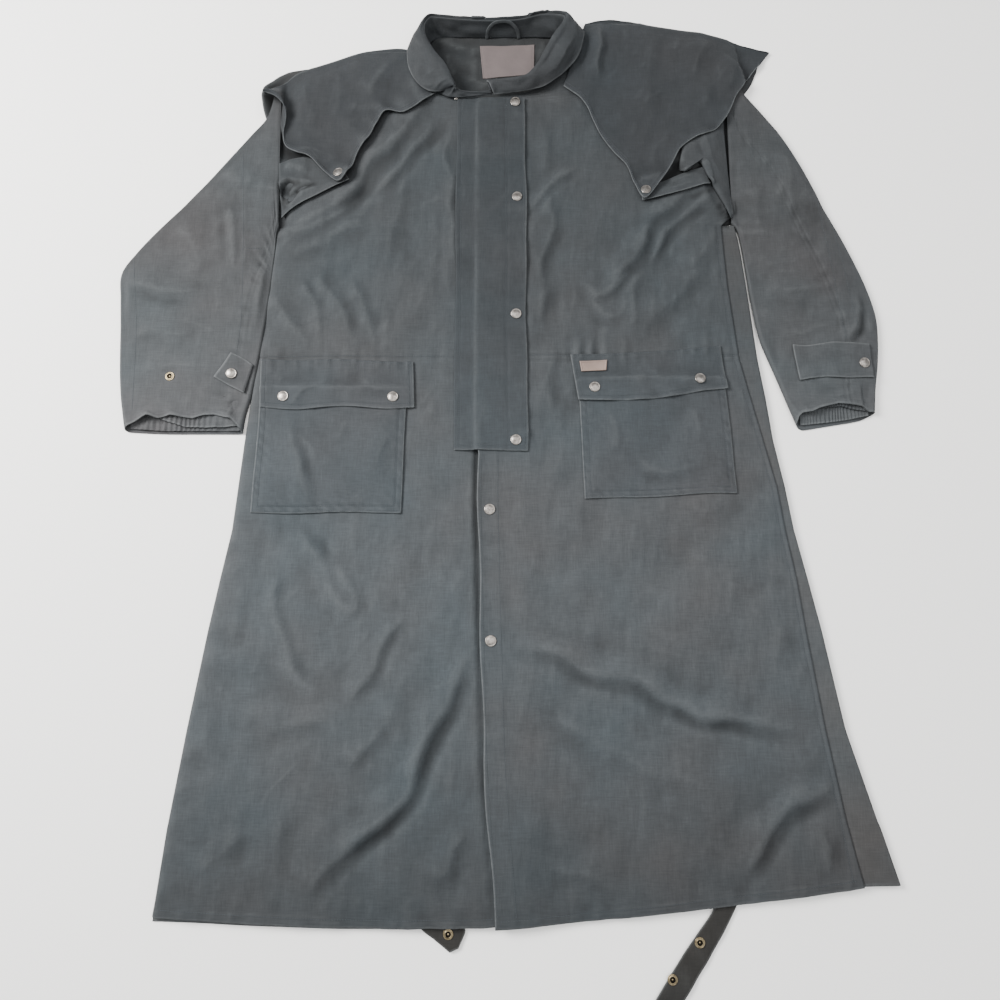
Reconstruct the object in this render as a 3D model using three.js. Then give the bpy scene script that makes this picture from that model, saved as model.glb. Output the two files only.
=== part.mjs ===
// A long riding duster coat, laid on its back on a flat surface with its storm flap snapped shut.
// Millimetres. x runs to the wearer's left (right as seen), y from hem to collar, z up from the surface.
import * as THREE from "three";

// Driving sizes
const CLOTH = 1.6;            // wall of a panel: waxed cotton with its turned and felled edges
const SMALL_CLOTH = 1.2;      // wall of labels, loops and small straps
const SEAM = 0.4;             // left between pieces that are sewn edge to edge
const LAY = 0.6;              // left between a piece and the piece it lies on
const BODY_HEIGHT = 7.0;      // underside of the fronts above the surface, where they lie flat
const CAPE_STEP = 2.0;        // the coat rises by this much where the back cape lies under it
const LAP_STEP = 2.5;         // the right front rises by this much where it laps over the left
const SIDE_TURN = 3.5;        // radius of the turn where the back wraps round to the right side seam
const CUFF_HEIGHT = 9.5;      // sleeve, middle of lower layer to middle of upper layer at the cuff
const SLEEVE_HEIGHT = 8.0;    // the same at the armhole
const LOOP_HALF_WIDTH = 3;     // hanger loop, half its width
const SNAP_CAP = 15;          // snap cap diameter
const SNAP_RISE = 2.6;        // snap cap height
const SOCKET = 13;            // socket ring diameter on straps and cuff

const coat = new THREE.Group();
coat.name = "duster_coat";

// Colours read from the cloth, the metal and the labels
const CLOTH_DARK = "#565a5d";
const CLOTH_MID = "#63676a";
const CLOTH_PALE = "#747677";
const METAL = "#b9b8b2";
const BRASS = "#a58f62";
const LABEL_MAUVE = "#877b79";
const LABEL_TAN = "#8c7c74";

const lerp = (a, b, t) => a + (b - a) * t;
const clamp01 = (t) => Math.min(1, Math.max(0, t));
const smooth = (t) => { const c = clamp01(t); return c * c * (3 - 2 * c); };

// Straight-line lookup in a table whose rows start with the running value
function look(table, v, column) {
  if (v <= table[0][0]) return table[0][column];
  for (let i = 1; i < table.length; i++) {
    if (v <= table[i][0]) {
      const t = (v - table[i - 1][0]) / (table[i][0] - table[i - 1][0]);
      return lerp(table[i - 1][column], table[i][column], t);
    }
  }
  return table[table.length - 1][column];
}

function distanceToPath(x, y, path) {
  let best = { d: Infinity, s: 0 };
  let run = 0;
  let total = 0;
  for (let i = 1; i < path.length; i++) total += Math.hypot(path[i][0] - path[i - 1][0], path[i][1] - path[i - 1][1]);
  for (let i = 1; i < path.length; i++) {
    const [ax, ay] = path[i - 1];
    const [bx, by] = path[i];
    const len = Math.hypot(bx - ax, by - ay);
    const t = clamp01(((x - ax) * (bx - ax) + (y - ay) * (by - ay)) / (len * len));
    const d = Math.hypot(x - lerp(ax, bx, t), y - lerp(ay, by, t));
    if (d < best.d) best = { d, s: (run + t * len) / total };
    run += len;
  }
  return best;
}

// Height added by a table of folds: each is a soft ridge along a path, fading at both ends
function foldHeight(folds, x, y) {
  let z = 0;
  for (const fold of folds) {
    const near = distanceToPath(x, y, fold.path);
    if (near.d > 2.5 * fold.width) continue;
    const fade = smooth(Math.min(near.s, 1 - near.s) / 0.22 + 0.15);
    z += fold.rise * fade * Math.exp(-((near.d / fold.width) ** 2));
  }
  return z;
}

// Closed mesh from two grids of points, the outside and the inside of one layer of cloth
function closedSheet(top, bottom) {
  const rows = top.length;
  const cols = top[0].length;
  const points = [];
  for (const grid of [top, bottom]) for (const row of grid) for (const p of row) points.push(p.x, p.y, p.z);
  const faces = [];
  const T = (i, j) => i * cols + j;
  const B = (i, j) => rows * cols + i * cols + j;
  for (let i = 0; i < rows - 1; i++) {
    for (let j = 0; j < cols - 1; j++) {
      faces.push(T(i, j), T(i, j + 1), T(i + 1, j + 1), T(i, j), T(i + 1, j + 1), T(i + 1, j));
      faces.push(B(i, j), B(i + 1, j + 1), B(i, j + 1), B(i, j), B(i + 1, j), B(i + 1, j + 1));
    }
  }
  for (let j = 0; j < cols - 1; j++) {
    faces.push(T(0, j), B(0, j), B(0, j + 1), T(0, j), B(0, j + 1), T(0, j + 1));
    const n = rows - 1;
    faces.push(T(n, j), T(n, j + 1), B(n, j + 1), T(n, j), B(n, j + 1), B(n, j));
  }
  for (let i = 0; i < rows - 1; i++) {
    faces.push(T(i, 0), T(i + 1, 0), B(i + 1, 0), T(i, 0), B(i + 1, 0), B(i, 0));
    const n = cols - 1;
    faces.push(T(i, n), B(i, n), B(i + 1, n), T(i, n), B(i + 1, n), T(i + 1, n));
  }
  return facingOut(points, faces);
}

function facingOut(points, faces) {
  let volume = 0;
  for (let k = 0; k < faces.length; k += 3) {
    const [a, b, c] = [faces[k] * 3, faces[k + 1] * 3, faces[k + 2] * 3];
    volume += points[a] * (points[b + 1] * points[c + 2] - points[b + 2] * points[c + 1])
      - points[a + 1] * (points[b] * points[c + 2] - points[b + 2] * points[c])
      + points[a + 2] * (points[b] * points[c + 1] - points[b + 1] * points[c]);
  }
  if (volume < 0) for (let k = 0; k < faces.length; k += 3) [faces[k + 1], faces[k + 2]] = [faces[k + 2], faces[k + 1]];
  const geometry = new THREE.BufferGeometry();
  geometry.setAttribute("position", new THREE.Float32BufferAttribute(points, 3));
  geometry.setIndex(faces);
  return geometry;
}

function addMesh(name, geometry, colour, metal = 0, rough = 0.85) {
  geometry.computeVertexNormals();
  const material = new THREE.MeshStandardMaterial({ color: colour, metalness: metal, roughness: rough });
  material.name = `${name}_material`;
  const mesh = new THREE.Mesh(geometry, material);
  mesh.name = name;
  coat.add(mesh);
  return mesh;
}

// A grid of plan points: rows run from first to last, each a straight line from its left to its right end
function planGrid(ends, shares) {
  return ends.map(([xl, yl, xr, yr]) => shares.map((s) => [lerp(xl, xr, s), lerp(yl, yr, s)]));
}
const even = (n) => Array.from({ length: n + 1 }, (_, i) => i / n);

// The tops of pieces already laid, so that the next piece can be laid on them
const laid = {};
function keepTop(name, top) {
  const tris = [];
  for (let i = 0; i < top.length - 1; i++) {
    for (let j = 0; j < top[0].length - 1; j++) {
      tris.push([top[i][j], top[i][j + 1], top[i + 1][j + 1]], [top[i][j], top[i + 1][j + 1], top[i + 1][j]]);
    }
  }
  laid[name] = tris.map(([a, b, c]) => ({ a, b, c,
    x0: Math.min(a.x, b.x, c.x), x1: Math.max(a.x, b.x, c.x), y0: Math.min(a.y, b.y, c.y), y1: Math.max(a.y, b.y, c.y) }));
}
function topAt(names, x, y) {
  let z = -Infinity;
  for (const name of names) {
    for (const t of laid[name]) {
      if (x < t.x0 || x > t.x1 || y < t.y0 || y > t.y1) continue;
      const det = (t.b.y - t.c.y) * (t.a.x - t.c.x) + (t.c.x - t.b.x) * (t.a.y - t.c.y);
      if (Math.abs(det) < 1e-9) continue;
      const u = ((t.b.y - t.c.y) * (x - t.c.x) + (t.c.x - t.b.x) * (y - t.c.y)) / det;
      const v = ((t.c.y - t.a.y) * (x - t.c.x) + (t.a.x - t.c.x) * (y - t.c.y)) / det;
      if (u < -1e-6 || v < -1e-6 || u + v > 1 + 1e-6) continue;
      z = Math.max(z, u * t.a.z + v * t.b.z + (1 - u - v) * t.c.z);
    }
  }
  return z;
}
// Highest point of those pieces close around a spot
function seatAt(names, x, y, reach, otherwise) {
  let z = topAt(names, x, y);
  for (const share of [0.35, 0.7, 1]) {
    for (let k = 0; k < 12; k++) {
      const a = (k * Math.PI) / 6;
      z = Math.max(z, topAt(names, x + share * reach * Math.cos(a), y + share * reach * Math.sin(a)));
    }
  }
  return z === -Infinity ? otherwise : z;
}

// One layer laid over a height rule given for its underside
function layPanel(name, plan, underside, colour, wall = CLOTH) {
  const bottom = plan.map((row) => row.map(([x, y]) => new THREE.Vector3(x, y, underside(x, y))));
  const top = bottom.map((row) => row.map((p) => new THREE.Vector3(p.x, p.y, p.z + wall)));
  keepTop(name, top);
  return addMesh(name, closedSheet(top, bottom), colour);
}

// One layer through sections of points on its middle, thickened along its own normals
function bentSheet(name, sections, colour, wall = CLOTH) {
  const rows = sections.length;
  const cols = sections[0].length;
  const mid = sections.map((row) => row.map((p) => new THREE.Vector3(...p)));
  const normalAt = (i, j) => {
    const du = mid[Math.min(i + 1, rows - 1)][j].clone().sub(mid[Math.max(i - 1, 0)][j]);
    const dv = mid[i][Math.min(j + 1, cols - 1)].clone().sub(mid[i][Math.max(j - 1, 0)]);
    return du.cross(dv).normalize();
  };
  const top = mid.map((row, i) => row.map((p, j) => p.clone().addScaledVector(normalAt(i, j), wall / 2)));
  const bottom = mid.map((row, i) => row.map((p, j) => p.clone().addScaledVector(normalAt(i, j), -wall / 2)));
  const zOf = (grid) => grid.flat().reduce((sum, p) => sum + p.z, 0);
  keepTop(name, zOf(top) > zOf(bottom) ? top : bottom);
  return addMesh(name, closedSheet(top, bottom), colour);
}

// The outline of the body, from hem to underarm: y, left edge x, right edge x, right side seam x
const BODY = [
  [4, -427, 499, 451],
  [111, -417, 480, 437],
  [233, -401, 446, 418],
  [360, -384, 425, 402],
  [426, -373, 412, 395],
  [494, -360, 398, 384],
  [553, -356, 390, 377],
  [620, -353, 378, 362],
  [678, -347, 372, 349],
  [737, -339, 364, 336],
  [844, -329, 355, 326],
  [906, -323, 349, 323],
  [940, -318, 344, 322],
];
// Armholes run almost straight from the underarm to the shoulder point
const ARMHOLE_LEFT = { under: [-331, 940], shoulder: [-338, 1165] };
const ARMHOLE_RIGHT = { under: [345.4, 948], shoulder: [350, 1215] };
const armholeX = (hole, y) => lerp(hole.under[0], hole.shoulder[0], (y - hole.under[1]) / (hole.shoulder[1] - hole.under[1]));
const lift = (y) => CAPE_STEP * smooth((y - 968) / 28);
const floorOfFronts = (y) => lift(y) + CLOTH + SEAM;

// Back cape: the bottom layer of all, from the shoulders to a curved lower edge
const CAPE_BACK = [
  [1004, -205, 215],
  [1022, -262, 270],
  [1050, -300, 305],
  [1095, -322, 330],
  [1140, -345, 352],
  [1165, -352, 372],
  [1190, -330, 388],
  [1208, -300, 398],
  [1230, -200, 404],
  [1242, -120, 390],
  [1256, -100, 340],
  [1266, -80, 280],
];
layPanel("cape_back", planGrid(CAPE_BACK.map(([y, xl, xr]) => [xl, y, xr, y]), even(4)), () => 0, CLOTH_DARK);

// Back panel: flat on the surface; below the underarm it wraps round its right edge to the side seam
const BACK_TOP = [
  // y, left x, right x
  ...[953, 968, 982, 996, 1060, 1110, 1160].map((y) => [y, armholeX(ARMHOLE_LEFT, y) + SEAM, armholeX(ARMHOLE_RIGHT, y) - SEAM]),
  [1172, -328, 348.2],
  [1185, -314, 348.5],
  [1195, -290, 348.8],
  [1205, -255, 349],
  [1227, -190, 349.2],
  [1238, -120, 347],
  [1258, -95, 300],
  [1265.5, -90, 232],
];
{
  const hemRise = (x, y) => 44 * smooth((x + 60) / 560) * Math.max(0, 1 - y / 120);
  const turned = [4, 40, 80, 120, 172, 233, 296, 360, 426, 494, 553, 620, 678, 737, 790, 844, 906, 936].map((y) => {
    const [xl, xr, xs] = [1, 2, 3].map((column) => look(BODY, y, column));
    const z0 = lift(y) + CLOTH / 2;
    const flat = even(5).map((s) => [lerp(xl, xr - SIDE_TURN, s), z0]);
    const turn = [-50, 0, 50, 90].map((a) => {
      const r = (a * Math.PI) / 180;
      return [xr - SIDE_TURN + SIDE_TURN * Math.cos(r), z0 + SIDE_TURN + SIDE_TURN * Math.sin(r)];
    });
    return [...flat, ...turn, [xs + SEAM, z0 + 2 * SIDE_TURN]].map(([x, z]) => [x, y + hemRise(x, y), z]);
  });
  const flat = BACK_TOP.map(([y, xl, xr]) => {
    const shares = [...even(5).map((s) => lerp(xl, xr - 10, s)), xr - 8, xr - 6, xr - 4, xr - 2, xr];
    return shares.map((x) => [x, y, lift(y) + CLOTH / 2]);
  });
  bentSheet("back", [...turned, ...flat], CLOTH_DARK);
}

// Largest folds of the two fronts: path, half width, rise
const FOLDS_LEFT = [
  { path: [[-92, 1120], [-135, 1075], [-175, 1030], [-240, 985], [-300, 955]], width: 20, rise: 7 },
  { path: [[-215, 925], [-180, 860], [-150, 790]], width: 22, rise: 5 },
  { path: [[-270, 930], [-290, 880], [-300, 820]], width: 18, rise: 5 },
  { path: [[-110, 900], [-125, 850], [-150, 800]], width: 20, rise: 4 },
  { path: [[-48, 300], [-66, 270], [-90, 225], [-125, 165], [-175, 105], [-215, 60]], width: 24, rise: 8 },
  { path: [[-110, 350], [-150, 290], [-195, 235]], width: 22, rise: 6 },
  { path: [[-275, 425], [-265, 375], [-235, 330]], width: 20, rise: 5 },
  { path: [[-210, 430], [-190, 380], [-180, 345]], width: 20, rise: 5 },
  { path: [[-345, 440], [-350, 380], [-345, 320]], width: 18, rise: 4 },
  { path: [[-300, 215], [-230, 210], [-170, 208]], width: 22, rise: 4 },
];
const FOLDS_RIGHT = [
  { path: [[78, 1120], [76, 1050], [66, 980], [62, 900]], width: 18, rise: 5 },
  { path: [[255, 985], [215, 950], [190, 905], [172, 860]], width: 20, rise: 7 },
  { path: [[290, 975], [245, 915], [215, 865]], width: 16, rise: 4 },
  { path: [[115, 880], [140, 840], [175, 800]], width: 22, rise: 5 },
  { path: [[30, 345], [90, 325], [165, 308], [235, 270], [310, 262], [375, 235]], width: 24, rise: 8 },
  { path: [[400, 150], [365, 125], [335, 95], [300, 55]], width: 24, rise: 7 },
  { path: [[420, 110], [428, 80], [432, 50]], width: 16, rise: 4 },
  { path: [[215, 500], [290, 495], [335, 470]], width: 22, rise: 4 },
];

// Left front: from the side edge and the armhole to its centre edge, which lies under the flap
const FRONT_LEFT = [
  [2, -427, 8, 18],
  ...[40, 75, 111, 142, 172, 203, 233, 265, 296, 328, 360, 393, 426, 460, 494, 524, 553, 587, 620, 650, 678, 708, 737, 765, 793, 820, 844, 875, 906]
    .map((y) => [y, look(BODY, y, 1), y, 18]),
  [936, -319, 936, 18],
  ...[962, 990, 1020, 1050, 1080, 1115, 1148].map((y) => [y, armholeX(ARMHOLE_LEFT, y) + SEAM, y, 18]),
  [1158, armholeX(ARMHOLE_LEFT, 1158) + SEAM, 1158, -84],
  [1170, -331, 1170, -98],
  [1184, -317, 1184, -106],
  [1196, -288, 1196, -110],
  [1208, -246, 1208, -113],
  [1220, -205, 1220, -116],
];
function heightOfFrontLeft(x, y) {
  const low = floorOfFronts(y);
  const side = y < 950 ? x - look(BODY, y, 1) : 60;
  const shoulder = y > 1140 ? distanceToPath(x, y, [[-337, 1165], [-331, 1172], [-317, 1186], [-288, 1198], [-246, 1211], [-190, 1232], [-120, 1246]]).d : 60;
  const open = smooth(Math.min(side / 34, shoulder / 26));
  const capeFree = 1 - smooth((y - 1040) / 60) * smooth((-x - 110) / 30);
  const lapFree = smooth((-x - 24) / 24);
  return lerp(low, BODY_HEIGHT + foldHeight(FOLDS_LEFT, x, y) * capeFree * lapFree, open);
}
{
  const shares = even(14);
  layPanel("front_left", planGrid(FRONT_LEFT.map(([yl, xl, yr, xr]) => [xl, yl, xr, yr]), shares), heightOfFrontLeft, CLOTH_MID);
}

// Right front: laps over the left front, and runs out to the side seam and the armhole
const FRONT_EDGE = [
  [1, -6],
  [64, -11],
  [123, -16],
  [196, -21],
  [270, -23],
  [400, -27],
  [535, -30],
  [1150, -30],
];
const FRONT_RIGHT = [
  [1, -6, 44, 451],
  ...[40, 75, 111, 142, 172, 203, 233, 265, 296, 328, 360, 393, 426, 460, 494, 524, 553, 587, 620, 650, 678, 708, 737, 765, 793, 820, 844, 875, 906, 938]
    .map((y) => [y + (y < 50 ? 0 : 0), look(FRONT_EDGE, y, 1), y + 44 * Math.max(0, 1 - y / 120), look(BODY, y + 44 * Math.max(0, 1 - y / 120), 3)]),
  ...[966, 990, 1020, 1050, 1080, 1115, 1148].map((y) => [y, -30, y, armholeX(ARMHOLE_RIGHT, y) - SEAM]),
  ...[[1162, 40], [1180, 78], [1205, 102]].map(([y, x]) => [y, x, y, armholeX(ARMHOLE_RIGHT, y) - SEAM]),
  [1230, 112, 1230, 349.4],
  [1247, 118, 1247, 346],
  [1260, 122, 1260, 304],
  [1270, 128, 1270, 236],
];
function heightOfFrontRight(x, y) {
  const low = floorOfFronts(y);
  const shoulder = y > 1190 ? distanceToPath(x, y, [[350, 1216], [349, 1250], [300, 1263], [225, 1275], [140, 1287]]).d : 60;
  const open = smooth(shoulder / 26);
  const lap = LAP_STEP * (1 - smooth((x - 24) / 40));
  const capeFree = 1 - smooth((y - 1000) / 50) * smooth((x - 110) / 40);
  return lerp(low, BODY_HEIGHT + lap + foldHeight(FOLDS_RIGHT, x, y) * capeFree * smooth((x - 20) / 30), open);
}
{
  const shares = [0, 0.055, 0.11, 0.17, 0.235, 0.305, 0.38, 0.455, 0.53, 0.605, 0.68, 0.76, 0.84, 0.92, 1];
  layPanel("front_right", planGrid(FRONT_RIGHT.map(([yl, xl, yr, xr]) => [xl, yl, xr, yr]), shares), heightOfFrontRight, CLOTH_MID);
}

// Sleeves: flattened tubes through rings, open at the cuff and joined to the armhole at the top.
// Each ring runs from a point on the outer edge to one on the inner edge.
const RING = [
  // share across, share of the height
  [0.000, 0.50], [0.018, 0.86], [0.06, 1.00], [0.17, 1.02], [0.30, 1.06], [0.44, 1.08], [0.58, 1.08], [0.72, 1.06], [0.84, 1.02], [0.94, 1.00], [0.982, 0.86],
  [1.000, 0.50], [0.982, 0.14], [0.94, 0.00], [0.66, 0.00], [0.34, 0.00], [0.06, 0.00], [0.018, 0.14],
];
// outer x, outer y, inner x, inner y
const SLEEVE_LEFT = [
  [-338, 1165, -331, 940],
  [-350, 1121, -331, 922],
  [-372, 1091, -330, 905],
  [-404, 1049, -330, 888],
  [-442, 1000, -331, 866],
  [-496, 940, -333, 843],
  [-528, 900, -335, 820],
  [-547, 867, -337, 797],
  [-545, 828, -340, 774],
  [-541, 785, -343, 751],
  [-538, 745, -346, 728],
  [-535, 712, -349, 704],
  [-531, 682, -352, 681],
  [-526, 657, -355, 658],
  [-521, 636, -358, 636],
];
const SLEEVE_RIGHT = [
  [350, 1215, 345.4, 948],
  [365, 1168, 349.6, 927],
  [394, 1127, 352.4, 909],
  [421, 1088, 354.2, 892],
  [447, 1038, 356, 874],
  [475, 972, 358, 854],
  [498, 922, 360, 833],
  [515, 880, 363, 811],
  [528, 842, 366, 788],
  [537, 802, 371, 763],
  [537, 766, 379, 739],
  [533, 728, 388, 714],
  [528, 700, 396, 691],
  [525, 680, 404, 668],
  [522, 659, 413, 645],
];
const SLEEVE_FOLDS_LEFT = [
  { path: [[-395, 985], [-380, 945], [-385, 900]], width: 16, rise: 6 },
  { path: [[-525, 860], [-470, 840], [-420, 845]], width: 16, rise: 5 },
  { path: [[-520, 760], [-470, 775], [-425, 760]], width: 16, rise: 4 },
];
const SLEEVE_FOLDS_RIGHT = [
  { path: [[520, 830], [500, 800], [505, 770]], width: 14, rise: 6 },
  { path: [[400, 1060], [420, 1000], [430, 930]], width: 18, rise: 5 },
  { path: [[380, 830], [420, 820], [460, 830]], width: 15, rise: 4 },
];
function buildSleeve(name, table, folds, mouthSlant, colour) {
  const outside = [];
  const inside = [];
  const tops = [];
  const last = table.length - 1;
  table.forEach(([ox, oy, ix, iy], k) => {
    const down = k / last;
    const high = lerp(SLEEVE_HEIGHT, CUFF_HEIGHT, smooth(down));
    const width = Math.hypot(ix - ox, iy - oy);
    const across = [(ix - ox) / width, (iy - oy) / width];
    const mid = RING.map(([s, h], n) => {
      const edge = h === 0.5 ? 0 : 1;
      const along = s < 0.1 ? s * 170 : s > 0.9 ? width - (1 - s) * 170 : s * width;
      const x = ox + across[0] * along;
      const y0 = oy + across[1] * along;
      const upper = n < 11 || h === 0.5;
      const slant = k === last ? mouthSlant * (h > 0.5 ? 1 : h === 0.5 ? 0.5 : 0) : 0;
      const fold = upper && edge ? foldHeight(folds, x, y0) * smooth((s - 0.02) / 0.1) * smooth((0.98 - s) / 0.1) : 0;
      const sag = k === 0 ? 0 : 1;
      const share = h > 1 ? 1 + (h - 1) * sag : h;
      return [x, y0 + slant, lift(y0) + CLOTH / 2 + share * high + fold];
    });
    const n = mid.length;
    const ring = (side) => mid.map((p, j) => {
      const a = mid[(j + n - 1) % n];
      const b = mid[(j + 1) % n];
      const ux = (b[0] - a[0]) * across[0] + (b[1] - a[1]) * across[1];
      const uz = b[2] - a[2];
      const l = Math.hypot(ux, uz) || 1;
      const [ns, nz] = [-uz / l, ux / l];
      return new THREE.Vector3(p[0] + side * ns * across[0], p[1] + side * ns * across[1], p[2] + side * nz);
    });
    outside.push(ring(CLOTH / 2));
    inside.push(ring(-CLOTH / 2));
    tops.push(outside[k].slice(0, 12));
  });
  const n = RING.length;
  const points = [];
  for (const grid of [outside, inside]) for (const row of grid) for (const p of row) points.push(p.x, p.y, p.z);
  const faces = [];
  const O = (i, j) => i * n + (j % n);
  const I = (i, j) => outside.length * n + i * n + (j % n);
  for (let i = 0; i < last; i++) {
    for (let j = 0; j < n; j++) {
      faces.push(O(i, j), O(i, j + 1), O(i + 1, j + 1), O(i, j), O(i + 1, j + 1), O(i + 1, j));
      faces.push(I(i, j), I(i + 1, j + 1), I(i, j + 1), I(i, j), I(i + 1, j), I(i + 1, j + 1));
    }
  }
  for (let j = 0; j < n; j++) {
    faces.push(O(0, j), I(0, j), I(0, j + 1), O(0, j), I(0, j + 1), O(0, j + 1));
    faces.push(O(last, j), O(last, j + 1), I(last, j + 1), O(last, j), I(last, j + 1), I(last, j));
  }
  keepTop(name, tops);
  addMesh(name, facingOut(points, faces), colour);
}
buildSleeve("sleeve_left", SLEEVE_LEFT, SLEEVE_FOLDS_LEFT, 16, CLOTH_PALE);
buildSleeve("sleeve_right", SLEEVE_RIGHT, SLEEVE_FOLDS_RIGHT, 14, CLOTH_MID);

// Storm flap: sewn down its left edge and laid over both fronts
{
  const ends = [];
  for (const y of even(15).map((t) => lerp(605, 1150, t))) ends.push([-64 - (y < 900 ? 0 : 0.5), y, 38, y - 1]);
  layPanel("storm_flap", planGrid(ends, [0, 0.24, 0.36, 0.68, 1]), (x, y) => seatAt(["front_left", "front_right"], x, y, 14) + LAY, CLOTH_DARK);
}

// Pockets: patches on the fronts, their tops hidden by the flaps
function layPatch(name, ends, shares, under, colour, puff = 0, wall = CLOTH, reach = 14) {
  const rows = ends.length;
  const plan = planGrid(ends, shares);
  const key = new Map();
  plan.forEach((row, i) => row.forEach((p, j) => key.set(`${p[0]},${p[1]}`, Math.sin((Math.PI * i) / (rows - 1)) * Math.sin((Math.PI * j) / (row.length - 1)))));
  layPanel(name, plan, (x, y) => seatAt(under, x, y, reach) + LAY + 0.15 + puff * key.get(`${x},${y}`), colour, wall);
}
layPatch("pocket_left", [[-338, 517, -134, 517], [-337, 550, -132, 553], [-336, 585, -131, 590], [-335, 622, -130, 628], [-334, 658, -130, 661], [-334, 692, -130, 692]], even(7), ["front_left"], CLOTH_MID, 1.5);
layPatch("pocket_right", [[115, 535, 323, 544], [114, 568, 322, 572], [112, 603, 320, 606], [111, 640, 318, 640], [112, 675, 315, 676], [115, 704, 309, 706]], even(7), ["front_right"], CLOTH_MID, 0.8);
layPatch("pocket_flap_left", [[-333, 664, -119, 664], [-335, 690, -120, 688], [-336, 714, -121, 711], [-337, 737, -122, 732]], even(8), ["front_left", "pocket_left"], CLOTH_DARK, 0.5);
layPatch("pocket_flap_right", [[109, 676, 318, 692], [106, 697, 316, 714], [102, 720, 314, 736], [99, 742, 311, 756]], even(8), ["front_right", "pocket_right"], CLOTH_DARK, 0.5, CLOTH, 17);
layPatch("pocket_label", [[114, 716, 149, 718], [111, 732, 151, 735]], even(2), ["pocket_flap_right"], LABEL_TAN, 0, SMALL_CLOTH, 5);

// Cape straps: each comes out from under a cape tip and runs to the armhole, over the front
layPatch("cape_strap_left", [[-222, 1018, -236, 1036], [-237, 1007, -252, 1042], [-266, 994, -281, 1052], [-295, 980, -305, 1050], [-324, 964, -328, 1042]], even(3), ["front_left"], CLOTH_PALE, 0);
layPatch("cape_strap_right", [[209, 986, 214, 1020], [228, 986, 226, 1026], [254, 990, 250, 1036], [285, 1000, 282, 1044], [312, 1010, 306, 1048]], even(3), ["front_right"], CLOTH_PALE, 0);

// Cape fronts: each section runs from the shoulder line down to the lower edge
const CAPE_LEFT = [
  // x, y at the shoulder line; x, y at the lower edge
  [-139, 1238, -96, 1160],
  [-160, 1240, -119, 1139],
  [-193, 1236, -144, 1122],
  [-220, 1229, -170, 1126],
  [-246, 1219, -184, 1103],
  [-262, 1213, -194, 1080],
  [-276, 1208, -209, 1056],
  [-288, 1205, -223, 1031],
  [-299, 1202, -240, 1014],
  [-308, 1199, -256, 1026],
  [-316, 1195, -281, 1051],
  [-324, 1188, -299, 1058],
  [-332, 1180, -314, 1070],
  [-340, 1172, -326, 1088],
  [-348, 1165, -336, 1110],
  [-356, 1158, -346, 1134],
];
const CAPE_RIGHT = [
  [131, 1284, 96, 1170],
  [145, 1289, 108, 1160],
  [158, 1291, 121, 1149],
  [172, 1292, 132, 1133],
  [188, 1290, 140, 1110],
  [205, 1287, 151, 1085],
  [225, 1281, 168, 1060],
  [245, 1277, 188, 1037],
  [262, 1274, 201, 1012],
  [279, 1271, 216, 987],
  [294, 1269, 236, 1011],
  [309, 1267, 252, 1036],
  [322, 1263, 266, 1062],
  [335, 1259, 288, 1079],
  [347, 1255, 305, 1086],
  [358, 1251, 321, 1094],
  [368, 1247, 335, 1111],
  [378, 1244, 345, 1130],
  [388, 1241, 353, 1149],
  [398, 1238, 366, 1169],
  [407, 1236, 382, 1195],
  [413, 1234, 396, 1213],
];
const CAPE_FOLDS_LEFT = [
  { path: [[-330, 1160], [-338, 1130], [-325, 1100]], width: 15, rise: 11 },
  { path: [[-150, 1215], [-185, 1170], [-205, 1120]], width: 22, rise: 5 },
];
const CAPE_FOLDS_RIGHT = [
  { path: [[160, 1275], [162, 1230], [150, 1180]], width: 15, rise: 7 },
  { path: [[300, 1240], [290, 1200], [285, 1165]], width: 22, rise: 5 },
];
function buildCape(name, table, folds, under) {
  const shares = [0.0, 0.09, 0.2, 0.34, 0.48, 0.62, 0.76, 0.89, 1];
  const sections = table.map(([tx, ty, bx, by]) => {
    const row = shares.map((s) => {
      const x = lerp(tx, bx, s);
      const y = lerp(ty, by, s);
      const z = seatAt(under, x, y, 13, lift(y) + BODY_HEIGHT - 1) + LAY + 0.2 + CLOTH / 2;
      return [x, y, z + foldHeight(folds, x, y)];
    });
    const length = Math.hypot(tx - bx, ty - by);
    const out = [(tx - bx) / length, (ty - by) / length];
    const first = row[0];
    row.unshift([first[0] + out[0] * 1.6, first[1] + out[1] * 1.6, CLOTH + SEAM + 1.0], [first[0] + out[0] * 2.6, first[1] + out[1] * 2.6, first[2] * 0.62]);
    return row;
  });
  bentSheet(name, sections, CLOTH_DARK);
}
buildCape("cape_front_left", CAPE_LEFT, CAPE_FOLDS_LEFT, ["front_left", "cape_strap_left", "sleeve_left", "back"]);
buildCape("cape_front_right", CAPE_RIGHT, CAPE_FOLDS_RIGHT, ["front_right", "cape_strap_right", "sleeve_right", "back"]);

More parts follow.
